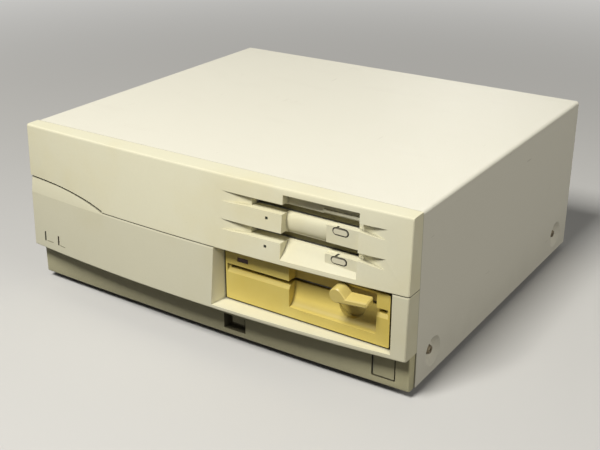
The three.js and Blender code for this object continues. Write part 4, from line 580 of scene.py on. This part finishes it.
dressing = [
    (plastics["upper"], ["upper_front_panel"]),
    (plastics["lower"], ["lower_front_panel"]),
    (plastics["plinth"], ["plinth_panel", "power_button", "reset_button"]),
    (plastics["button"], names_with("eject_button")),
    (plastics["flap"], names_with("small_drive_flap")),
    (plastics["drive"], ["large_drive_face"]),
    (plastics["lever"], ["large_drive_lever"]),
    (cover_paint, ["top_cover"]),
    (metals["sheet"], ["chassis_tray", "front_subframe", "rear_panel", "drive_cage", "hard_disk_bracket"]),
    (metals["sheet"], names_with("slot_cover")),
    (metals["housing"], ["small_drive_1", "small_drive_2", "large_drive", "hard_disk", "power_supply"]),
    (metals["dulled"], names_with("cover_screw")),
    (metals["screw"], ["backup_battery"]),
    (metals["fins"], ["heat_sink"]),
    (foot_rubber, names_with("foot_")),
    (amber_lens, ["large_drive_lamp", "disk_lamp_guide"]),
    (green_lens, names_with("small_drive_lamp") + ["power_lamp_guide"]),
    (socket_shell, ["serial_socket", "printer_socket", "display_socket"]),
    (black_plastic, ["keyboard_socket", "mouse_socket", "sound_jack", "power_inlet", "power_outlet"]),
    (black_plastic, ["fan_frame", "fan_rotor", "power_switch_rod", "processor", "speaker"]),
    (board, ["main_board", "riser_board", "memory_module_1", "memory_module_2"]),
    (flat_cable, ["drive_cable", "hard_disk_cable"]),
]
for material, names in dressing:
    for name in names:
        nodes[name].data.materials.clear()
        nodes[name].data.materials.append(material)
dressed = {name for _, names in dressing for name in names}
print("dressed:", len(dressed), "left:", sorted(set(nodes) - dressed))

# %% [markdown]
# ## Soft edges
#
# The edges of real parts are never perfectly sharp: a mould radius or a folded edge catches a thin line of
# light. A Bevel modifier adds that line without touching the mesh itself. Before it, a Weld joins the
# triangles and a Decimate set to planar turns flat areas into single faces, because a bevel can't pass
# the slivers that cutting leaves. Weighted normals then keep the flats flat. The upper panel and the flaps
# go without the Decimate, which would tear their thin places.

# %% Rounded edges
EDGE_WIDTHS = {
    "upper_front_panel": 0.5, "lower_front_panel": 0.5, "plinth_panel": 0.5, "top_cover": 0.4,
    "large_drive_face": 0.4, "large_drive_lever": 0.8, "power_button": 0.4, "reset_button": 0.4,
}
OTHER_EDGE_WIDTH = 0.2
EDGE_SEGMENTS = 2
WELD_DISTANCE = 0.002 * MM
FLAT_WITHIN = math.radians(0.4)
SHARP_FROM = math.radians(28)


def soften(part, width, flats=True):
    """Rounds the edges of a part and keeps its flats flat."""
    for face in part.data.polygons:
        face.use_smooth = True
    weld = part.modifiers.new("weld", "WELD")
    weld.merge_threshold = WELD_DISTANCE
    if flats:
        flat = part.modifiers.new("flats", "DECIMATE")
        flat.decimate_type = "DISSOLVE"
        flat.angle_limit = FLAT_WITHIN
    edge = part.modifiers.new("edge", "BEVEL")
    edge.width = width
    edge.segments = EDGE_SEGMENTS
    edge.limit_method = "ANGLE"
    edge.angle_limit = SHARP_FROM
    edge.miter_outer = "MITER_ARC"
    weighted = part.modifiers.new("weighted", "WEIGHTED_NORMAL")
    weighted.keep_sharp = False


thin_parts = names_with("small_drive_flap", "upper_front_panel")
for name, part in nodes.items():
    soften(part, EDGE_WIDTHS.get(name, OTHER_EDGE_WIDTH) * MM, flats=name not in thin_parts)
print("soft edges on", len(nodes), "parts")

# %% [markdown]
# ## Small bought-in fittings
#
# Screws, threaded posts, contact pins and printed rules are too small for the measured model. All of them
# are drawn the same way: a row of closed loops of points, each joined to the next by a band of faces, with
# a lid at either end. A loop may be a circle, a hexagon or a cross, so that one helper gives a turned head,
# a nut and a screw slot.

# %% Loops
LOOP_POINTS = 24
LOOP_TURNS = [2 * math.pi * i / LOOP_POINTS for i in range(LOOP_POINTS)]
SIXTH_TURN = math.pi / 3


def circle(radius):
    return [(radius * math.cos(turn), radius * math.sin(turn)) for turn in LOOP_TURNS]


def hexagon(across_flats):
    """A loop with six flats, with the points spread by equal turns."""
    half = SIXTH_TURN / 2
    reach = [across_flats / 2 / math.cos((turn + half) % SIXTH_TURN - half) for turn in LOOP_TURNS]
    return [(r * math.cos(turn), r * math.sin(turn)) for r, turn in zip(reach, LOOP_TURNS)]


def cross(arm, half_width):
    """A loop in the form of a screw slot with four arms."""
    points = []
    for turn in LOOP_TURNS:
        across, up = math.cos(turn), math.sin(turn)
        long_side, short_side = max(abs(across), abs(up)), min(abs(across), abs(up))
        reach = min(arm / long_side, half_width / max(short_side, half_width / arm / 2))
        points.append((reach * across, reach * up))
    return points


print("points in a loop:", LOOP_POINTS)

# %% [markdown]
# ## From loops to a solid
#
# The rear fittings all stand on a face that looks backwards, so a fitting is given as a place and a list of
# heights with their loops. The mesh is filled face by face. Modifiers that screw or skin a curve would do
# it too, but they round the slot of a screw head and leave it to chance how the lids close.

# %% A solid from a row of loops
def standing(place, profile):
    """Rings on the rear face: profile lists a height above the face and a loop."""
    return [[place + Vector((u, height, v)) for u, v in loop] for height, loop in profile]


def loft(name, solids, material):
    """One piece from rows of rings. It rides on the case."""
    mesh = bmesh.new()
    for rings in solids:
        rows = [[mesh.verts.new(point) for point in ring] for ring in rings]
        for inner, outer in zip(rows, rows[1:]):
            for i in range(LOOP_POINTS):
                j = (i + 1) % LOOP_POINTS
                mesh.faces.new((inner[i], inner[j], outer[j], outer[i]))
        mesh.faces.new(rows[0][::-1])
        mesh.faces.new(rows[-1])
    bmesh.ops.recalc_face_normals(mesh, faces=mesh.faces)
    data = bpy.data.meshes.new(name)
    mesh.to_mesh(data)
    mesh.free()
    data.materials.append(material)
    piece = bpy.data.objects.new(name, data)
    bpy.context.scene.collection.objects.link(piece)
    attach(piece, "case")
    print(name, "solids:", len(solids))


print("faces in the band between two loops:", LOOP_POINTS)

# %% [markdown]
# ## Screws of the rear panel
#
# Pan-head screws with a crossed slot hold the rear panel, the power supply and the fan. A real head is a low
# dome pressed in one blow, and its slot is pressed with it. The profile climbs the dome ring by ring,
# changes to a cross at the top, and goes down into the slot. Each screw stands on the outer face of the panel
# and takes its place from the part that it holds.

# %% Panel, power-supply and fan screws
HEAD_RADIUS = 3.1 * MM
HEAD_HEIGHT = 1.9 * MM
HEAD_DOME = ((0.35, 1.0), (0.75, 0.86), (1.0, 0.62))
SLOT_ARM = 1.7 * MM
SLOT_HALF = 0.36 * MM
SLOT_DEPTH = 1.1 * MM
SLOT_TAPER = 0.8
SEAT = -0.05 * MM
SCREW_INSET = 6.5 * MM
FAN_HOLE_SPACING = 57 * MM
FAN_SCREW_SCALE = 0.85


def pan_head(place, scale=1.0):
    """Screw head: the dome lists shares of its height and of its radius."""
    radius, height = HEAD_RADIUS * scale, HEAD_HEIGHT * scale
    arm, half = SLOT_ARM * scale, SLOT_HALF * scale
    dome = [(height * rise, circle(radius * share)) for rise, share in HEAD_DOME]
    return standing(place, [
        (SEAT, circle(radius)),
        *dome,
        (height, cross(arm, half)),
        (height - SLOT_DEPTH * scale, cross(arm * SLOT_TAPER, half * SLOT_TAPER)),
    ])


def on_rear(across, heights):
    """The places on the rear face at all of these distances across and up."""
    return [Vector((x, panel_back, z)) for x in across for z in heights]


def inset_corners(part):
    """The places of four screws near the corners of a part."""
    low, high = corners(part)
    across = (low.x + SCREW_INSET, high.x - SCREW_INSET)
    return on_rear(across, (low.z + SCREW_INSET, high.z - SCREW_INSET))


panel_top = corners("rear_panel")[1].z
panel_places = inset_corners("rear_panel") + on_rear([0], [panel_top - SCREW_INSET])
supply_places = inset_corners("power_supply")
fan_low, fan_high = corners("fan_frame")
fan_middle = (fan_low + fan_high) / 2
spread = (-FAN_HOLE_SPACING / 2, FAN_HOLE_SPACING / 2)
fan_places = on_rear([fan_middle.x + side for side in spread], [fan_middle.z + rise for rise in spread])
loft("rear_panel_screws", [pan_head(place) for place in panel_places], metals["screw"])
loft("power_supply_screws", [pan_head(place) for place in supply_places], metals["screw"])
loft("fan_screws", [pan_head(place, FAN_SCREW_SCALE) for place in fan_places], metals["screw"])

# %% [markdown]
# ## Threaded posts of the sockets
#
# A threaded hexagonal post stands on either side of the serial and the display socket and takes the screws
# of the plug. It is turned from hexagonal bar, so its outer edge is eased and its hole is round. A cylinder
# with six sides would have neither, so the loops change from hexagon to circle at the rim of the hole. The
# middle of the socket's mouth gives the height.

# %% Hexagonal posts
POST_ACROSS = 4.8 * MM
POST_HEIGHT = 4.0 * MM
POST_EASE = 0.7 * MM
POST_SHOULDER = 0.4 * MM
POST_HOLE = 1.5 * MM
POST_HOLE_DEPTH = 3 * MM
POST_HOLE_TAPER = 0.94
POST_BEYOND = 4.2 * MM
FLOOR_DEPTH = 5.8 * MM
SOCKET_LIP = 1 * MM
MOUTH_HEIGHTS = {
    "serial_socket": 12 * MM, "display_socket": 12 * MM, "printer_socket": 13 * MM,
    "keyboard_socket": 15 * MM, "mouse_socket": 12 * MM,
}


def hex_post(place):
    outer = hexagon(POST_ACROSS)
    return standing(place, [
        (SEAT, outer),
        (POST_HEIGHT - POST_SHOULDER, outer),
        (POST_HEIGHT, hexagon(POST_ACROSS - POST_EASE)),
        (POST_HEIGHT, circle(POST_HOLE)),
        (POST_HEIGHT - POST_HOLE_DEPTH, circle(POST_HOLE * POST_HOLE_TAPER)),
    ])


def mouth_centre(name):
    """Centre of a socket's mouth, on its floor."""
    low, high = corners(name)
    return Vector(((low.x + high.x) / 2, high.y - FLOOR_DEPTH, low.z + SOCKET_LIP + MOUTH_HEIGHTS[name] / 2))


def beside(name):
    """The places of the two posts of a socket."""
    low, high = corners(name)
    return on_rear((low.x - POST_BEYOND, high.x + POST_BEYOND), [mouth_centre(name).z])


post_places = beside("serial_socket") + beside("display_socket")
loft("socket_posts", [hex_post(place) for place in post_places], metals["screw"])

# %% [markdown]
# ## Pins of the sockets
#
# Gold pins stand inside the mouths: in two rows in the serial and display sockets, in an open ring in the
# round ones. The pitches are those of the standard connectors, and each group is centred on the socket that
# carries it. A pin is a short rod with an eased tip, drawn from three loops. Copies of one pin would do as
# well, but the pins of a socket never move apart, so they are one piece.

# %% Pins
PIN_RADIUS = 0.5 * MM
PIN_LENGTH = 4.6 * MM
PIN_SHOULDER, PIN_TIP = 0.93, 0.5
PIN_PITCH = 2.77 * MM
ROW_RISE = 1.42 * MM
ROUND_SOCKET_PIN_LENGTH = 3.6 * MM
KEYBOARD_RING = 4.2 * MM
MOUSE_RING = 3.2 * MM
RING_START, RING_SPAN = math.radians(-135), math.radians(270)


def pin(place, length=PIN_LENGTH):
    return standing(place, [
        (SEAT, circle(PIN_RADIUS)),
        (length * PIN_SHOULDER, circle(PIN_RADIUS)),
        (length, circle(PIN_RADIUS * PIN_TIP)),
    ])


def two_rows(centre, long_row):
    """Pins of a tapered socket: the longer row is the upper one."""
    pins = []
    for count, rise in ((long_row, ROW_RISE), (long_row - 1, -ROW_RISE)):
        start = -(count - 1) / 2
        pins += [pin(centre + Vector(((start + i) * PIN_PITCH, 0, rise))) for i in range(count)]
    return pins


def ring_of_pins(centre, count, radius):
    """Pins of a round socket: the gap in the ring is at the bottom."""
    turns = [RING_START + RING_SPAN * i / (count - 1) for i in range(count)]
    places = [centre + Vector((radius * math.sin(turn), 0, radius * math.cos(turn))) for turn in turns]
    return [pin(place, ROUND_SOCKET_PIN_LENGTH) for place in places]


loft("serial_pins", two_rows(mouth_centre("serial_socket"), 13), metals["gold"])
loft("display_pins", two_rows(mouth_centre("display_socket"), 8), metals["gold"])
loft("keyboard_pins", ring_of_pins(mouth_centre("keyboard_socket"), 5, KEYBOARD_RING), metals["gold"])
loft("mouse_pins", ring_of_pins(mouth_centre("mouse_socket"), 6, MOUSE_RING), metals["gold"])

# %% [markdown]
# ## Contacts of the printer socket
#
# The printer socket has no pins. A flat tongue stands in its mouth, with springy gold strips on both faces.
# A strip could be a plain box, but its eased end would be missing. It is drawn as a pin is, from loops
# pressed to half their height.

# %% Contacts
CONTACT_PITCH = 1.9 * MM
CONTACT_COUNT = 18
CONTACT_HALF = 0.45 * MM
CONTACT_LENGTH = 4.1 * MM
CONTACT_EASE = 0.5 * MM
CONTACT_START = 0.3 * MM
CONTACT_FLATNESS, CONTACT_TIP = 0.5, 0.8
TONGUE_HALF = 1.5 * MM


def contact(place):
    strip = [(u, v * CONTACT_FLATNESS) for u, v in circle(CONTACT_HALF)]
    narrow = [(u * CONTACT_TIP, v * CONTACT_FLATNESS) for u, v in strip]
    return standing(place, [(0, strip), (CONTACT_LENGTH - CONTACT_EASE, strip), (CONTACT_LENGTH, narrow)])


printer_centre = mouth_centre("printer_socket")
across = [(i - (CONTACT_COUNT - 1) / 2) * CONTACT_PITCH for i in range(CONTACT_COUNT)]
contact_places = [
    printer_centre + Vector((x, CONTACT_START, side * TONGUE_HALF)) for side in (-1, 1) for x in across
]
loft("printer_contacts", [contact(place) for place in contact_places], metals["gold"])

# %% [markdown]
# ## Printed rules beside the lamps
#
# A short brown rule is printed at the foot of each lamp slit. An image laid on the panel could show it, but
# would have to be laid out anew for each change of shape. Here the ink is a skin a few hundredths of a
# millimetre thick that follows the bow of the panel, drawn through points found on the panel itself.

# %% Rules that follow the panel
RULE_HALF = 0.3 * MM
RULE_SKIN = 0.04 * MM
RULE_STEPS = 6
RULE_FOOT = 0.5 * MM
POWER_RULE = (6.1 * MM, 14.4 * MM, 0.2 * MM)
DISK_RULE = (5.6 * MM, 12.5 * MM, -0.4 * MM)
BEFORE_PANEL = -1.0
rule_ink = dark_moulding("rule_ink", colour(96, 88, 58), colour(112, 104, 74), 0.5, 1800, 0.005 * MM)


def on_panel(name, x, z):
    """Point of a part's front face at that place."""
    _, point, _, _ = nodes[name].ray_cast(Vector((x, BEFORE_PANEL, z)), Vector((0, 1, 0)))
    return point


def printed_rule(slit, start, end, rise):
    """Rings of ink from start to end, counted from the slit, rising by that much on the way."""
    side, foot = corners(slit)[0].x, corners("power_lamp_guide")[0].z + RULE_FOOT
    rings = []
    for i in range(RULE_STEPS + 1):
        share = i / RULE_STEPS
        point = on_panel("lower_front_panel", side + start + (end - start) * share, foot + rise * share)
        skin = [(-RULE_SKIN * math.cos(turn), RULE_HALF * math.sin(turn)) for turn in LOOP_TURNS]
        rings.append([point + Vector((0, depth, height)) for depth, height in skin])
    return rings


rules = [printed_rule("power_lamp_guide", *POWER_RULE), printed_rule("disk_lamp_guide", *DISK_RULE)]
loft("printed_rules", rules, rule_ink)

# %% [markdown]
# ## Camera
#
# The camera stands in front of the computer, to its right and above, about as high as eyes are at a desk.
# Its place and lens come from fitting the case's corners to the picture, so the outline falls where it
# does there.

# %% Camera
CAMERA_PLACE = Vector((476.8, -735.9, 426.3)) * MM
CAMERA_TURN = math.radians(33.37)
CAMERA_DROP = math.radians(23.68)
LENS_PIXELS = 1019.5
FRAME_PIXELS = 600
SENSOR_WIDTH = 36.0

camera_data = bpy.data.cameras.new("camera")
camera = bpy.data.objects.new("camera", camera_data)
bpy.context.scene.collection.objects.link(camera)
camera_data.sensor_width = SENSOR_WIDTH
camera_data.lens = LENS_PIXELS / FRAME_PIXELS * SENSOR_WIDTH
camera.location = CAMERA_PLACE
camera.rotation_euler = (math.pi / 2 - CAMERA_DROP, 0, CAMERA_TURN)
bpy.context.scene.camera = camera
print("lens, mm:", round(camera_data.lens, 1))

# %% [markdown]
# ## Floor
#
# The floor is plain and pale, and keeps the shadow that shows how the computer stands on its feet. A floor
# that ends in a line would draw the eye, so with distance the seen floor fades into an even backdrop that
# glows as the seen sky does. Light on its way to the case meets a much darker floor, because a pale one
# would throw light up under the plinth and wash its shade away. Light Path tells the two apart.

# %% Floor
FLOOR_REACH = 6.0
FADE_START, FADE_END = 0.5, 1.9
FLOOR_SEEN = colour(200, 199, 196)
FLOOR_LIT = colour(62, 60, 58)
BACKDROP = colour(214, 213, 210)
BLACK = colour(0, 0, 0)


def seen(finish):
    """1 for the camera, for reflections and through glass, 0 for light on its way to something else."""
    camera_ray, glossy_ray, glass_ray = (
        finish.add("ShaderNodeLightPath", output=f"Is {kind} Ray")
        for kind in ("Camera", "Glossy", "Transmission")
    )
    return camera_ray.larger(glossy_ray).larger(glass_ray)


floor_corners = [(x * FLOOR_REACH, y * FLOOR_REACH, 0) for x, y in ((-1, -1), (1, -1), (1, 1), (-1, 1))]
floor_mesh = bpy.data.meshes.new("floor")
floor_mesh.from_pydata(floor_corners, [], [(0, 1, 2, 3)])
floor = bpy.data.objects.new("floor", floor_mesh)
bpy.context.scene.collection.objects.link(floor)

ground = Finish("floor")
distance = ground.add("ShaderNodeVectorMath", {"operation": "LENGTH"}, {0: ground.place}, output="Value")
far = ground.step(distance, FADE_START, FADE_END) * seen(ground)
near_floor = ground.blend(FLOOR_LIT, FLOOR_SEEN, seen(ground))
ground.set(Base_Color=ground.blend(near_floor, BLACK, far))
ground.set(Emission_Color=ground.blend(BLACK, BACKDROP, far), Emission_Strength=1.0)
ground.set(Roughness=0.9, Specular_IOR_Level=0.0)
floor_mesh.materials.append(ground.material)
print("floor reaches, m:", FLOOR_REACH)

# %% [markdown]
# ## World
#
# The world is the air of the studio. As light it is weak, so that the lamps shape the case. As a backdrop it
# has the same even pale grey as the far floor, and metal and lenses reflect that grey too. A picture of a
# real room would give livelier reflections, but they would change from side to side.

# %% World
WORLD_STRENGTH = 0.1
WORLD_TINT = (1.0, 0.99, 0.97, 1.0)
world = bpy.data.worlds.new("world")
bpy.context.scene.world = world
sky = Finish("world", world)
sky.set(Color=WORLD_TINT, Strength=WORLD_STRENGTH)
lit_sky = Wire(sky, sky.surface.outputs[0])
seen_sky = sky.add("ShaderNodeBackground", None, {"Color": BACKDROP, "Strength": 1.0})
whole_sky = sky.add("ShaderNodeMixShader", None, {0: seen(sky), 1: lit_sky, 2: seen_sky})
sky.join(sky.tree.nodes["World Output"].inputs["Surface"], whole_sky)
print("world strength:", WORLD_STRENGTH)

# %% [markdown]
# ## Lamps
#
# Three square lamps give the soft light of a room by day. The key lamp hangs in front, high up and a little
# to the left: it lights the top and the front and leaves the right-hand side in shade. The fill comes from
# the right, wide and weak, so that this side and the recesses still read. The third stands low and far behind
# for the rear panel. Near the case it would throw a sheen over the top.

# %% Lamps
def soft_lamp(name, place, target, size, power, tint):
    """Square lamp that points at the target."""
    data = bpy.data.lights.new(name, "AREA")
    data.shape = "SQUARE"
    data.size = size
    data.energy = power
    data.color = tint
    lamp = bpy.data.objects.new(name, data)
    bpy.context.scene.collection.objects.link(lamp)
    lamp.location = place
    lamp.rotation_euler = (Vector(target) - Vector(place)).to_track_quat("-Z", "Y").to_euler()


CASE_MIDDLE = (0, 0, 0.08)
soft_lamp("key", (-0.1, -1.2, 1.75), (0, 0, 0.05), size=0.6, power=47, tint=(1.0, 0.985, 0.95))
soft_lamp("fill", (2.0, -0.2, 0.7), CASE_MIDDLE, size=1.2, power=12.5, tint=(1.0, 0.97, 0.91))
soft_lamp("back", (-1.6, 4.0, 0.3), CASE_MIDDLE, size=0.5, power=34, tint=(1.0, 1.0, 1.0))
bpy.context.scene.view_settings.view_transform = "Standard"
print("lamps:", [item.name for item in bpy.data.lights])
